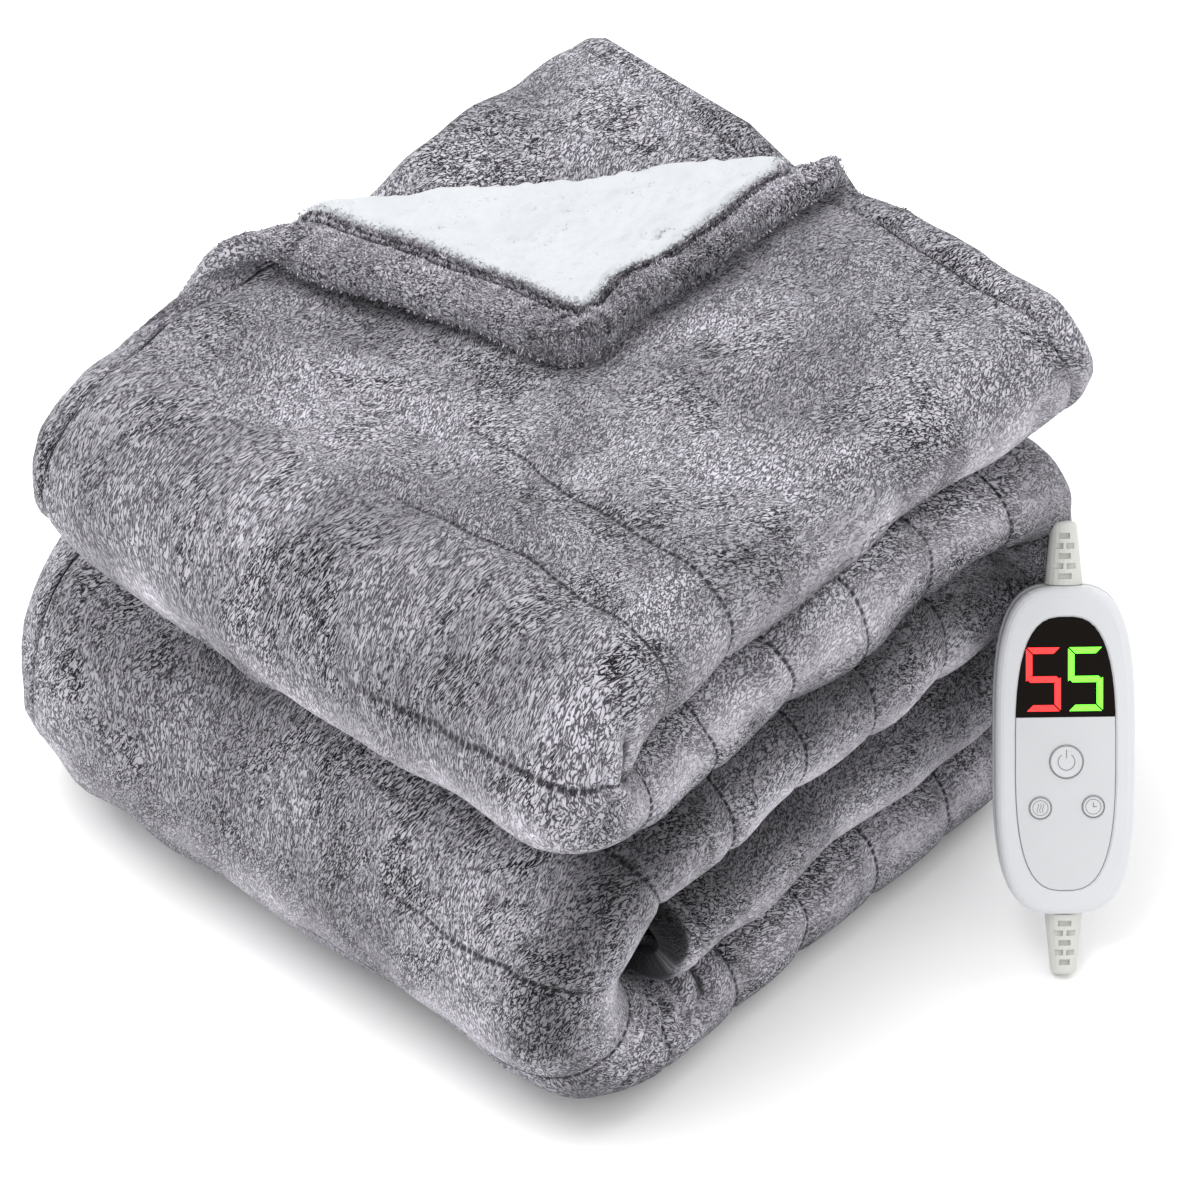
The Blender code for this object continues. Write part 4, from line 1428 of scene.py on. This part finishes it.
@dataclass(frozen=True)
class FleeceFinish:
    """White curly fleece."""

    name: str = "fleece_curls"
    light: Colour = (0.485, 0.50, 0.52)  # colour of the curls
    shade: Colour = (0.44, 0.455, 0.475)  # colour between them
    bump: float = 0.0004  # height of the relief

    CURLS: ClassVar[Speckle] = Speckle(190.0, 4.0, 2.2, 0.6)
    BROAD: ClassVar[Speckle] = Speckle(34.0, 3.0, 1.0)
    CURL_TONE: ClassVar[Ramp] = Ramp(0.30, 0.60, 0.5)
    BROAD_TONE: ClassVar[Ramp] = Ramp(0.25, 0.62, 0.4)

    def material(self) -> Material:
        """Make the material.

        Returns:
            The material.
        """
        material, tree, shader = new_material(self.name)
        flat = tree.flat()
        curls = tree.noise(flat, self.CURLS)
        tone = tree.math("MULTIPLY", tree.remap(curls, self.CURL_TONE),
                         tree.remap(tree.noise(flat, self.BROAD), self.BROAD_TONE))
        bump = tree.add("Bump", {"Height": curls, "Strength": 0.8, "Distance": self.bump})
        tree.fill(shader, {
            "Base Color": tree.blend(tone, rgba(self.shade), rgba(self.light)),
            "Normal": bump.outputs[0],
            "Roughness": 0.95,
            "Specular IOR Level": 0.1,
            "Sheen Weight": 0.25,
            "Sheen Roughness": 0.5,
        })
        return material


@dataclass(frozen=True)
class MouldedFinish:
    """Moulded plastic."""

    name: str
    colour: Colour
    roughness: float = 0.38
    grain: float = 0.00003  # height of its grain
    coat: float = 0.0  # weight of its clear coat
    vary: float = 0.04  # how much the roughness varies
    specular: float = 0.5  # strength of its reflection

    DULL: ClassVar[float] = 0.985
    WEAR_TONE: ClassVar[Ramp] = Ramp(0.35, 0.65)

    def material(self) -> Material:
        """Make the material.

        Returns:
            The material.
        """
        material, tree, shader = new_material(self.name)
        place = tree.add("TexCoord").outputs["Object"]
        grain = tree.add("Group", {"Vector": place}, node_tree=Groups.grain())
        wear = grain.outputs["Wear"]
        dull = tuple(self.DULL * part for part in self.colour)
        gloss = Ramp(0.3, 0.7, self.roughness - self.vary, self.roughness + self.vary)
        bump = tree.add("Bump", {"Height": grain.outputs["Height"], "Distance": self.grain})
        tone = tree.remap(wear, self.WEAR_TONE)
        tree.fill(shader, {
            "Base Color": tree.blend(tone, rgba(dull), rgba(self.colour)),
            "Roughness": tree.remap(wear, gloss),
            "Normal": bump.outputs[0],
            "Specular IOR Level": self.specular,
            "Coat Weight": self.coat,
            "Coat Roughness": 0.05,
        })
        return material


@dataclass(frozen=True)
class LitFinish:
    """Lit segment of the display."""

    name: str
    colour: Colour
    strength: float = 1.6

    CLOUDS: ClassVar[Speckle] = Speckle(420.0, 2.0)
    CLOUD_TONE: ClassVar[Ramp] = Ramp(0.35, 0.65, 0.82, 1.0)
    DIM: ClassVar[float] = 0.75

    def material(self) -> Material:
        """Make the material.

        Returns:
            The material.
        """
        material, tree, shader = new_material(self.name)
        place = tree.add("TexCoord").outputs["Object"]
        cloudy = tree.remap(tree.noise(place, self.CLOUDS), self.CLOUD_TONE)
        dim = tuple(self.DIM * part for part in self.colour)
        colour = tree.blend(cloudy, rgba(dim), rgba(self.colour))
        tree.fill(shader, {"Base Color": colour, "Emission Color": colour,
                           "Emission Strength": self.strength, "Roughness": 0.25})
        return material


FULL_TURN = 2 * math.pi
Wanted = Callable[[list[Vector]], bool]


class Bench:
    """Modelling by operators, each from a clear selection."""

    @staticmethod
    def clear() -> None:
        """Deselect everything, in object mode."""
        if bpy.context.mode != "OBJECT":
            bpy.ops.object.mode_set(mode="OBJECT")
        bpy.ops.object.select_all(action="DESELECT")

    @classmethod
    def bar(cls, name: str, centre: Triple, size: Triple) -> Object:
        """Add a bar.

        Args:
            name: Its name.
            centre: Its middle.
            size: Its size along X, Y and Z.

        Returns:
            The bar, with its size and place in its mesh.
        """
        cls.clear()
        bpy.ops.mesh.primitive_cube_add(size=1.0, location=centre, scale=size)
        item = bpy.context.active_object
        item.name = name
        bpy.ops.object.transform_apply(location=True, rotation=True, scale=True)
        return item

    @classmethod
    def pick(cls, item: Object, kind: str, wanted: Wanted) -> None:
        """Enter edit mode with only the wanted edges or faces selected.

        Args:
            item: The object.
            kind: EDGE or FACE.
            wanted: Says of the places of its vertices whether an edge or face is wanted.
        """
        cls.clear()
        item.select_set(True)
        bpy.context.view_layer.objects.active = item
        bpy.ops.object.mode_set(mode="EDIT")
        bpy.ops.mesh.select_mode(type=kind)
        bpy.ops.mesh.select_all(action="DESELECT")
        bpy.ops.object.mode_set(mode="OBJECT")
        mesh = item.data
        for part in mesh.edges if kind == "EDGE" else mesh.polygons:
            part.select = bool(wanted([mesh.vertices[number].co for number in part.vertices]))
        bpy.ops.object.mode_set(mode="EDIT")

    @classmethod
    def bevel(cls, item: Object, wanted: Wanted, offset: float) -> None:
        """Bevel the wanted edges flat.

        Args:
            item: The object.
            wanted: Says of an edge's two ends whether it is wanted.
            offset: Width of the bevel.
        """
        cls.pick(item, "EDGE", wanted)
        bpy.ops.mesh.bevel(offset=offset, segments=1, affect="EDGES", clamp_overlap=False)
        bpy.ops.object.mode_set(mode="OBJECT")

    @classmethod
    def arc(cls, name: str, radius: float, section: Triple, start: float = 0.0,
            sweep: float = FULL_TURN, steps: int = 48) -> Object:
        """Spin a small rectangle into a ring or a part of one.

        Args:
            name: Its name.
            radius: Radius of its middle line.
            section: Its width, its height and the height of its underside.
            start: Angle of its start, from the along axis.
            sweep: Angle that it covers.
            steps: Steps of the spin.

        Returns:
            The ring, round the origin.
        """
        width, height, floor = section
        cls.clear()
        bpy.ops.mesh.primitive_plane_add(size=1.0, location=(0.0, 0.0, 0.0))
        item = bpy.context.active_object
        item.name = name
        for vert in item.data.vertices:
            along, up = radius + vert.co.x * width, floor + (vert.co.y + 0.5) * height
            vert.co = Vector((0.0, along, up))
        item.data.transform(Matrix.Rotation(start, 4, "Z"))
        bpy.ops.object.mode_set(mode="EDIT")
        bpy.ops.mesh.select_all(action="SELECT")
        bpy.ops.mesh.spin(steps=steps, angle=sweep, center=(0.0, 0.0, 0.0), axis=(0.0, 0.0, 1.0))
        bpy.ops.mesh.select_all(action="SELECT")
        bpy.ops.mesh.remove_doubles(threshold=1e-6)
        if sweep == FULL_TURN:
            bpy.ops.mesh.select_all(action="DESELECT")
            bpy.ops.mesh.select_interior_faces()
            bpy.ops.mesh.delete(type="FACE")
            bpy.ops.mesh.select_all(action="SELECT")
        bpy.ops.mesh.normals_make_consistent(inside=False)
        bpy.ops.object.mode_set(mode="OBJECT")
        return item

    @classmethod
    def path(cls, name: str, points: list[Pair], section: Triple) -> Object:
        """Extrude a bar along a flat path.

        Args:
            name: Its name.
            points: The path, in steps.
            section: Its width, its height and the height of its underside.

        Returns:
            The bar.
        """
        width, height, floor = section
        item = cls.bar(name, (*points[0], floor + height / 2), (width, width * 0.6, height))
        end = max(vert.co.y for vert in item.data.vertices) - 1e-7
        cls.pick(item, "FACE", lambda corners: all(corner.y > end for corner in corners))
        for before, after in zip(points, points[1:]):
            move = (after[0] - before[0], after[1] - before[1], 0.0)
            bpy.ops.mesh.extrude_region_move(TRANSFORM_OT_translate={"value": move})
        bpy.ops.object.mode_set(mode="OBJECT")
        return item

    @classmethod
    def join(cls, items: list[Object]) -> Object:
        """Join pieces into the first of them.

        Args:
            items: The pieces.

        Returns:
            The first one.
        """
        cls.clear()
        for item in items:
            item.select_set(True)
        bpy.context.view_layer.objects.active = items[0]
        bpy.ops.object.join()
        return items[0]


class Segment(Enum):
    """Bars of a seven-segment digit: middle across and along as shares, and way of the bar."""

    TOP = (0.5, 1.0, "across")
    MIDDLE = (0.5, 0.5, "across")
    BOTTOM = (0.5, 0.0, "across")
    UPPER_LEFT = (0.0, 0.75, "along")
    LOWER_RIGHT = (1.0, 0.25, "along")


@dataclass
class HandControl:
    """The hand control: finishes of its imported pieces, lit digits, button marks."""

    place: HandControlPlace  # where its face lies
    digit_height: float = 0.0318
    digit_width: float = 0.0172
    digit_base: float = 0.0203  # place of the digits' feet along the housing
    digit_left: Pair = (-0.0196, 0.0012)  # place of each digit's left side across the housing
    digit_thick: float = 0.00016
    digit_gap: float = 0.00002  # distance between a segment and the window
    bar: float = 0.0031  # width of a segment
    bar_gap: float = 0.0007
    # width of a mitre, as a share of the segment's, at one side and at both
    mitres: Pair = (0.94, 0.48)
    line: float = 0.00038  # width of a mark's lines
    ring_line: float = 0.00035
    ring_sink: float = 0.0002  # how far a button's ring goes into its face
    mark_height: float = 0.00012  # how far a mark stands on its button
    dish: float = 0.00032

    def finish(self, item: Object, material: Material, body: str) -> None:
        """Put a piece on the control's face and dress it.

        Args:
            item: The piece, modelled flat.
            material: Its material.
            body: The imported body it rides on.
        """
        item.data.transform(self.place.matrix)
        item.data.materials.clear()
        item.data.materials.append(material)
        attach(item, body)
        LOG.info("%s: %d faces", item.name, len(item.data.polygons))

    def digit(self, name: str, left: float) -> Object:
        """Model a five of mitred bars.

        Args:
            name: Its name.
            left: Place of its left side across the housing.

        Returns:
            The digit.
        """
        half, thick = self.bar / 2, self.digit_thick
        middle = self.place.top("display_window") + thick / 2 + self.digit_gap
        wide, high = self.digit_width - self.bar, self.digit_height - self.bar
        bars = []
        for segment in Segment:
            share_x, share_y, way = segment.value
            centre = (left + half + share_x * wide, self.digit_base + half + share_y * high, middle)
            across = way == "across"
            long = (wide if across else high / 2) + self.bar - 2 * self.bar_gap
            size = (long, self.bar, thick) if across else (self.bar, long, thick)
            item = Bench.bar(f"{name}_{segment.name.lower()}", centre, size)
            both = segment is Segment.MIDDLE
            corners = self.upright(centre, self.inner_side(share_x, share_y, across), both, across)
            Bench.bevel(item, corners, self.bar * self.mitres[both])
            bars.append(item)
        item = Bench.join(bars)
        item.name = name
        return item

    @staticmethod
    def inner_side(share_x: float, share_y: float, across: bool) -> int:
        """Side of a bar that faces the digit's inside: 1 up or right, -1 down or left.

        Args:
            share_x: Place of the bar across, as a share.
            share_y: Its place along.
            across: Whether it lies across.

        Returns:
            The side.
        """
        if across:
            return -1 if share_y > 0.5 else 1
        return 1 if share_x < 0.5 else -1

    @staticmethod
    def upright(centre: Triple, inner: int, both: bool, across: bool) -> Wanted:
        """Test for the upright corner edges of a bar.

        Args:
            centre: The bar's middle.
            inner: Its inner side.
            both: Whether the edges of both sides are wanted.
            across: Whether the bar lies across.

        Returns:
            The test.
        """
        axis = 1 if across else 0

        def wanted(ends: list[Vector]) -> bool:
            """Whether an edge is such a corner.

            Args:
                ends: Places of the edge's two ends.

            Returns:
                Whether it is one.
            """
            first, second = ends
            inside = both or (first[axis] - centre[axis]) * inner > 0
            return abs(first.z - second.z) > 1e-6 and inside

        return wanted

    def ring(self, name: str, node: str) -> Object:
        """Model a thin ring on a button.

        Args:
            name: Its name.
            node: The button.

        Returns:
            The ring.
        """
        across, along, radius = self.button_centre(node)
        height, floor = self.mark_height + self.ring_sink, self.place.top(node) - self.ring_sink
        item = Bench.arc(name, radius - self.ring_line, (self.ring_line, height, floor))
        item.data.transform(Matrix.Translation((across, along, 0.0)))
        return item

    def mark(self, kind: str, node: str) -> Object:
        """Model the generic symbol on a button.

        Args:
            kind: Which symbol: power, heat or timer.
            node: The button.

        Returns:
            The symbol.
        """
        across, along, radius = self.button_centre(node)
        section = (self.line, self.mark_height, self.place.top(node) - self.dish)
        models = {"power": self.power_mark, "heat": self.heat_mark, "timer": self.timer_mark}
        item = Bench.join(models[kind](f"mark_{kind}", radius, section))
        item.data.transform(Matrix.Translation((across, along, 0.0)))
        return item

    @staticmethod
    def hand(name: str, middle: Pair, size: Pair, section: Triple) -> Object:
        """Straight line of a mark, with its middle and its size across and along."""
        _, high, floor = section
        return Bench.bar(name, (*middle, floor + high / 2), (*size, high))

    @staticmethod
    def inner_ring(title: str, radius: float, section: Triple) -> Object:
        """Ring inside a small button's edge."""
        return Bench.arc(f"{title}_ring", 0.68 * radius, (0.00025, *section[1:]))

    @classmethod
    def power_mark(cls, title: str, radius: float, section: Triple) -> list[Object]:
        """Open ring with a bar in its gap.

        Args:
            title: Start of its pieces' names.
            radius: Radius of its button.
            section: A line's width, its height and the height of its underside.

        Returns:
            Its pieces.
        """
        bow = Bench.arc(title, 0.50 * radius, section, math.radians(-35), math.radians(290))
        size = (section[0], 0.56 * radius)
        return [bow, cls.hand(f"{title}_stem", (0.0, 0.50 * radius), size, section)]

    @classmethod
    def heat_mark(cls, title: str, radius: float, section: Triple) -> list[Object]:
        """Three rising waves in a ring.

        Args:
            title: Start of its pieces' names.
            radius: Radius of its button.
            section: A line's width, its height and the height of its underside.

        Returns:
            Its pieces.
        """
        pieces = [cls.inner_ring(title, radius, section)]
        line, high, floor = section
        steps = [index / 14 - 0.5 for index in range(15)]
        for number in (-1, 0, 1):
            points = [(0.24 * radius * number + 0.07 * radius * math.sin(FULL_TURN * step),
                       0.80 * radius * step) for step in steps]
            name = f"{title}_wave{number + 2}"
            pieces.append(Bench.path(name, points, (line * 0.8, high, floor)))
        return pieces

    @classmethod
    def timer_mark(cls, title: str, radius: float, section: Triple) -> list[Object]:
        """Clock with two hands in a ring.

        Args:
            title: Start of its pieces' names.
            radius: Radius of its button.
            section: A line's width, its height and the height of its underside.

        Returns:
            Its pieces.
        """
        line, ring = section[0], cls.inner_ring(title, radius, section)
        long = cls.hand(f"{title}_long", (0.0, 0.19 * radius), (line, 0.42 * radius), section)
        short = cls.hand(f"{title}_short", (0.15 * radius, 0.0), (0.34 * radius, line), section)
        return [ring, long, short]

    def button_centre(self, node: str) -> Triple:
        """Middle of a button across and along, and its radius.

        Args:
            node: The button.

        Returns:
            The three measures.
        """
        local = (self.place.points(node) - self.place.origin) @ self.place.turn
        low, high = local.min(axis=0), local.max(axis=0)
        return (low[0] + high[0]) / 2, (low[1] + high[1]) / 2, (high[0] - low[0]) / 2


class Lamp(NamedTuple):
    """Soft square light that faces the part."""

    name: str
    azimuth: float  # its turn round the part, in degrees
    elevation: float  # its height, in degrees
    size: float
    power: float  # its power in watts


@dataclass
class Studio:
    """Floor, lights and camera."""

    azimuth: float = 41.92  # the camera's turn round the part, in degrees
    elevation: float = 42.0  # its height, in degrees
    distance: float = 3.1  # its distance
    target: Triple = (-0.0377, 0.0006, 0.12)  # what it looks at
    lens: float = 186.0  # focal length on a 36 mm sensor, in millimetres
    shift: Pair = (0.0301, 0.0255)  # shift of its picture
    lamps: tuple[Lamp, ...] = (
        Lamp("key", -30.0, 66.0, 1.6, 50.0),
        Lamp("fill", 95.0, 35.0, 2.0, 6.0),
        Lamp("back", 165.0, 42.0, 1.8, 14.0),
    )
    lamp_distance: float = 2.6
    sky: float = 0.98  # brightness of the room
    floor_size: float = 16.0

    @staticmethod
    def away(azimuth: float, elevation: float) -> Vector:
        """Direction from the part at a turn and a height in degrees; a turn of 0 is the front.

        Args:
            azimuth: The turn.
            elevation: The height.

        Returns:
            The direction.
        """
        turn, rise = math.radians(azimuth), math.radians(elevation)
        flat = math.cos(rise)
        return Vector((math.sin(turn) * flat, -math.cos(turn) * flat, math.sin(rise)))

    def camera(self) -> None:
        """Add the camera at the photograph's angle."""
        data = bpy.data.cameras.new("camera")
        item = bpy.data.objects.new("camera", data)
        bpy.context.scene.collection.objects.link(item)
        away = self.away(self.azimuth, self.elevation)
        item.location = Vector(self.target) + away * self.distance
        tilt = math.pi / 2 - math.radians(self.elevation)
        item.rotation_euler = (tilt, 0.0, math.radians(self.azimuth))
        data.sensor_width = 36.0
        data.lens = self.lens
        data.shift_x, data.shift_y = self.shift
        data.clip_end = 50.0
        bpy.context.scene.camera = item

    def light(self, lamp: Lamp) -> None:
        """Add a light.

        Args:
            lamp: The light.
        """
        data = bpy.data.lights.new(lamp.name, "AREA")
        data.size = lamp.size
        data.energy = lamp.power
        item = bpy.data.objects.new(lamp.name, data)
        bpy.context.scene.collection.objects.link(item)
        away = self.away(lamp.azimuth, lamp.elevation)
        item.location = Vector(self.target) + away * self.lamp_distance
        item.rotation_mode = "QUATERNION"
        item.rotation_quaternion = (-away).to_track_quat("-Z", "Y")

    def floor(self) -> None:
        """Add the plain pale floor."""
        Bench.clear()
        bpy.ops.mesh.primitive_plane_add(size=self.floor_size, location=(0.0, 0.0, 0.0))
        floor = bpy.context.active_object
        floor.name = "floor"
        material, tree, shader = new_material("floor_paint")
        place = tree.add("TexCoord").outputs["Object"]
        tone = tree.remap(tree.noise(place, Speckle(3.0)), Ramp(0.3, 0.7))
        colour = tree.blend(tone, (0.97, 0.97, 0.97, 1.0), (0.98, 0.98, 0.98, 1.0))
        tree.fill(shader, {"Base Color": colour, "Roughness": 0.7})
        floor.data.materials.append(material)

    def build(self) -> None:
        """Add floor, lights and camera."""
        self.camera()
        for lamp in self.lamps:
            self.light(lamp)
        world = bpy.data.worlds.new("studio")
        world.use_nodes = True
        background = world.node_tree.nodes["Background"]
        background.inputs["Color"].default_value = (1.0, 1.0, 1.0, 1.0)
        background.inputs["Strength"].default_value = self.sky
        bpy.context.scene.world = world
        bpy.context.scene.view_settings.view_transform = "Standard"
        self.floor()


# Each plush: colour of its tufts' tips, of lying pile, and of the painted shade between the tufts
GREY_PLUSH = PlushFinish(
    "grey_plush", (0.50, 0.484, 0.535), (0.148, 0.142, 0.162), (0.004, 0.003, 0.006)
)
HEM_PILE = PlushFinish(
    "hem_pile", (0.56, 0.535, 0.585), (0.23, 0.22, 0.245), (0.016, 0.014, 0.020), stitched=False
)
SHELL = MouldedFinish("pale_shell", (0.575, 0.585, 0.605), 0.34, coat=0.15)
PANEL = MouldedFinish("satin_panel", (0.54, 0.55, 0.565), 0.45)
BUTTON = MouldedFinish("satin_button", (0.56, 0.57, 0.585), 0.42)
SLEEVE = MouldedFinish("soft_sleeve", (0.56, 0.56, 0.53), 0.50)
WINDOW = MouldedFinish(
    "tinted_window", (0.006, 0.004, 0.003), 0.16, grain=0.0, vary=0.02, specular=0.07
)
# Dark grey on the buttons' raised marks and rings: painted shade standing in for the shading of
# lines that are the buttons' own colour
MARK_SHADE = MouldedFinish("mark_ink", (0.16, 0.16, 0.165), 0.5)
RED = LitFinish("digit_red", (1.0, 0.022, 0.022))
GREEN = LitFinish("digit_green", (0.14, 1.0, 0.035))
NODE_FINISHES = {
    SHELL: ("handset_back", "handset_front"),
    PANEL: ("handset_panel",),
    WINDOW: ("display_window",),
    BUTTON: ("button_power", "button_heat", "button_timer"),
    SLEEVE: ("strain_relief_upper", "strain_relief_lower"),
}


def centre_cloth(cloth: FoldedCloth, blanket: Blanket) -> None:
    """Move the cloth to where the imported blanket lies.

    Args:
        cloth: The cloth, before it is moved.
        blanket: Gives the grid on it.
    """
    u, v = (grid.ravel() for grid in np.meshgrid(blanket.columns(), blanket.rows()))
    half = np.full(u.shape, cloth.thickness / 2)
    plain = replace(
        cloth, tuck_inset=0.0, hem_droop=0.0, hem_reach=0.0, flap_droop=0.0, tip_pull=0.0
    )
    points = np.concatenate([plain.place(u, v, half), plain.place(u, v, -half)])
    low, high = (np.array(corner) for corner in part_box("blanket_cloth"))
    cloth.centre = (low + high) / 2 - (points.min(axis=0) + points.max(axis=0)) / 2
    cloth.centre[2] = 0.0
    LOG.info("cloth centred by %s", cloth.centre)


@dataclass
class Trim:
    """Pile that stands out from the fleece face and from the hem round it."""

    blanket: Blanket
    # picks the places
    random: np.random.Generator = field(default_factory=lambda: np.random.default_rng(3))
    curls: int = 16000  # number of the fleece's curls
    curl_inset: float = 0.0234  # their distance from the cloth's edge
    curl_root: float = 0.0032  # height of their feet over the cloth
    # number of tufts on the hem and the strip, before those elsewhere are left out
    tufts: int = 52000
    reach: float = 0.32  # how far along the edges the tufts go
    before_crease: float = 0.02  # how far before the crease they start
    strip_tufts: float = 0.18  # share of them that stands at the strip's inner edge
    strip_place: Pair = (-0.0008, 0.0007)  # their place from there, and how far it varies
    under: float = 0.34  # share of the others that stands on the plush face, near the edge
    under_reach: float = 0.009  # how far inwards those go
    # how far the stitching's groove, kept clear, reaches to either side
    groove: Pair = (0.0036, 0.0022)
    strip_pile: Pair = (0.0036, 0.50)  # length and lean of the tufts on the strip
    roll_pile: Pair = (0.0024, 1.1)  # length and lean of those on the roll
    flattened: float = 0.45  # how much shorter they are at the crease
    CREASED: ClassVar[Spot] = Spot(0.010, 0.035)  # where that is, past the crease

    def wool(self) -> Object:
        """Make the fleece's curls.

        Returns:
            The curls, one mesh.
        """
        outward = np.sqrt(self.random.uniform(0.0, 1.0, self.curls))
        sideways = self.random.uniform(0.0, 1.0, self.curls)
        u, v = self.blanket.corner_patch(outward, sideways, self.curl_inset)
        root = self.blanket.cloth.thickness / 2 + self.curl_root
        return Pile(self.blanket, "fleece_pile", -1, 0.0024, 0.0009, 0.95, 1.2, root, 4).grow(u, v)

    def fringe(self) -> Object:
        """Make the pile on the hem and the raw strip of the turned corner.

        Returns:
            The pile, one mesh.
        """
        blanket, random, count = self.blanket, self.random, self.tufts
        long = random.uniform(0.0, self.reach, count)
        short = (blanket.strip_reach + 0.0004) * random.uniform(0.0, 1.0, count)
        at_strip = random.uniform(size=count) < self.strip_tufts
        strip = blanket.strip_reach + random.normal(*self.strip_place, count)
        short = np.where(at_strip, strip, short)
        side = random.uniform(size=count) < 0.5
        u, v = np.where(side, short, long), np.where(side, long, short)
        under = (random.uniform(size=count) < self.under) & (short < self.under_reach)
        outer, inner = self.groove
        groove = (short > blanket.hem_width - outer) & (short < blanket.hem_width + inner)
        past = blanket.cloth.past_crease(u, v)
        keep = (past > -self.before_crease) & ~groove
        on_strip = (short > blanket.hem_width)[:, None]
        length, lean = np.where(on_strip, self.strip_pile, self.roll_pile)[keep].T
        length = length * (1.0 - self.flattened * self.CREASED.share(past[keep]))
        face = np.where(under, 1, -1)[keep]
        pile = Pile(blanket, "hem_pile", face, length, 0.0007, lean, 0.8, seed=8)
        return pile.grow(u[keep], v[keep])


def build_blanket(blanket: Blanket) -> None:
    """Build the blanket's pieces and dress them.

    Args:
        blanket: The blanket.
    """
    cloth, trim = blanket.cloth, Trim(blanket)
    skin, fleece = blanket.skin(), blanket.fleece()
    wool, fringe = trim.wool(), trim.fringe()
    curls = FleeceFinish().material()
    for item, material in ((skin, GREY_PLUSH.material(blanket)), (fleece, curls), (wool, curls),
                           (fringe, HEM_PILE.material(blanket))):
        item.data.materials.append(material)
        LOG.info("%s: %d faces", item.name, len(item.data.polygons))

    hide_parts("blanket_cloth")
    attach(skin, "root")
    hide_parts("fleece_lining")
    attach(fleece, "root")
    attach(wool, "root")
    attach(fringe, "root")


def build_control(control: HandControl) -> None:
    """Dress the hand control and add its digits and marks.

    Args:
        control: The hand control.
    """
    for look, names in NODE_FINISHES.items():
        material = look.material()
        for name in names:
            node = frame["nodes"][name]
            node.data.materials.clear()
            node.data.materials.append(material)
    left, right = control.digit_left
    control.finish(control.digit("digit_left", left), RED.material(), "root")
    control.finish(control.digit("digit_right", right), GREEN.material(), "root")
    # Painted shade for the marks and rings on the buttons
    mark_shade = MARK_SHADE.material()
    for kind in ("power", "heat", "timer"):
        node, body = f"button_{kind}", f"{kind}_key"
        control.finish(control.ring(f"ring_{kind}", node), mark_shade, body)
        control.finish(control.mark(kind, node), mark_shade, body)


def main() -> None:
    """Build the part's looks in order."""
    logging.basicConfig(level=logging.INFO, format="%(name)s: %(message)s")
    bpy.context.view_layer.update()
    place = HandControlPlace()
    cloth = FoldedCloth()
    blanket = Blanket(cloth, place)
    centre_cloth(cloth, blanket)
    build_blanket(blanket)
    build_control(HandControl(place))
    Studio().build()


if __name__ == "__main__":
    main()
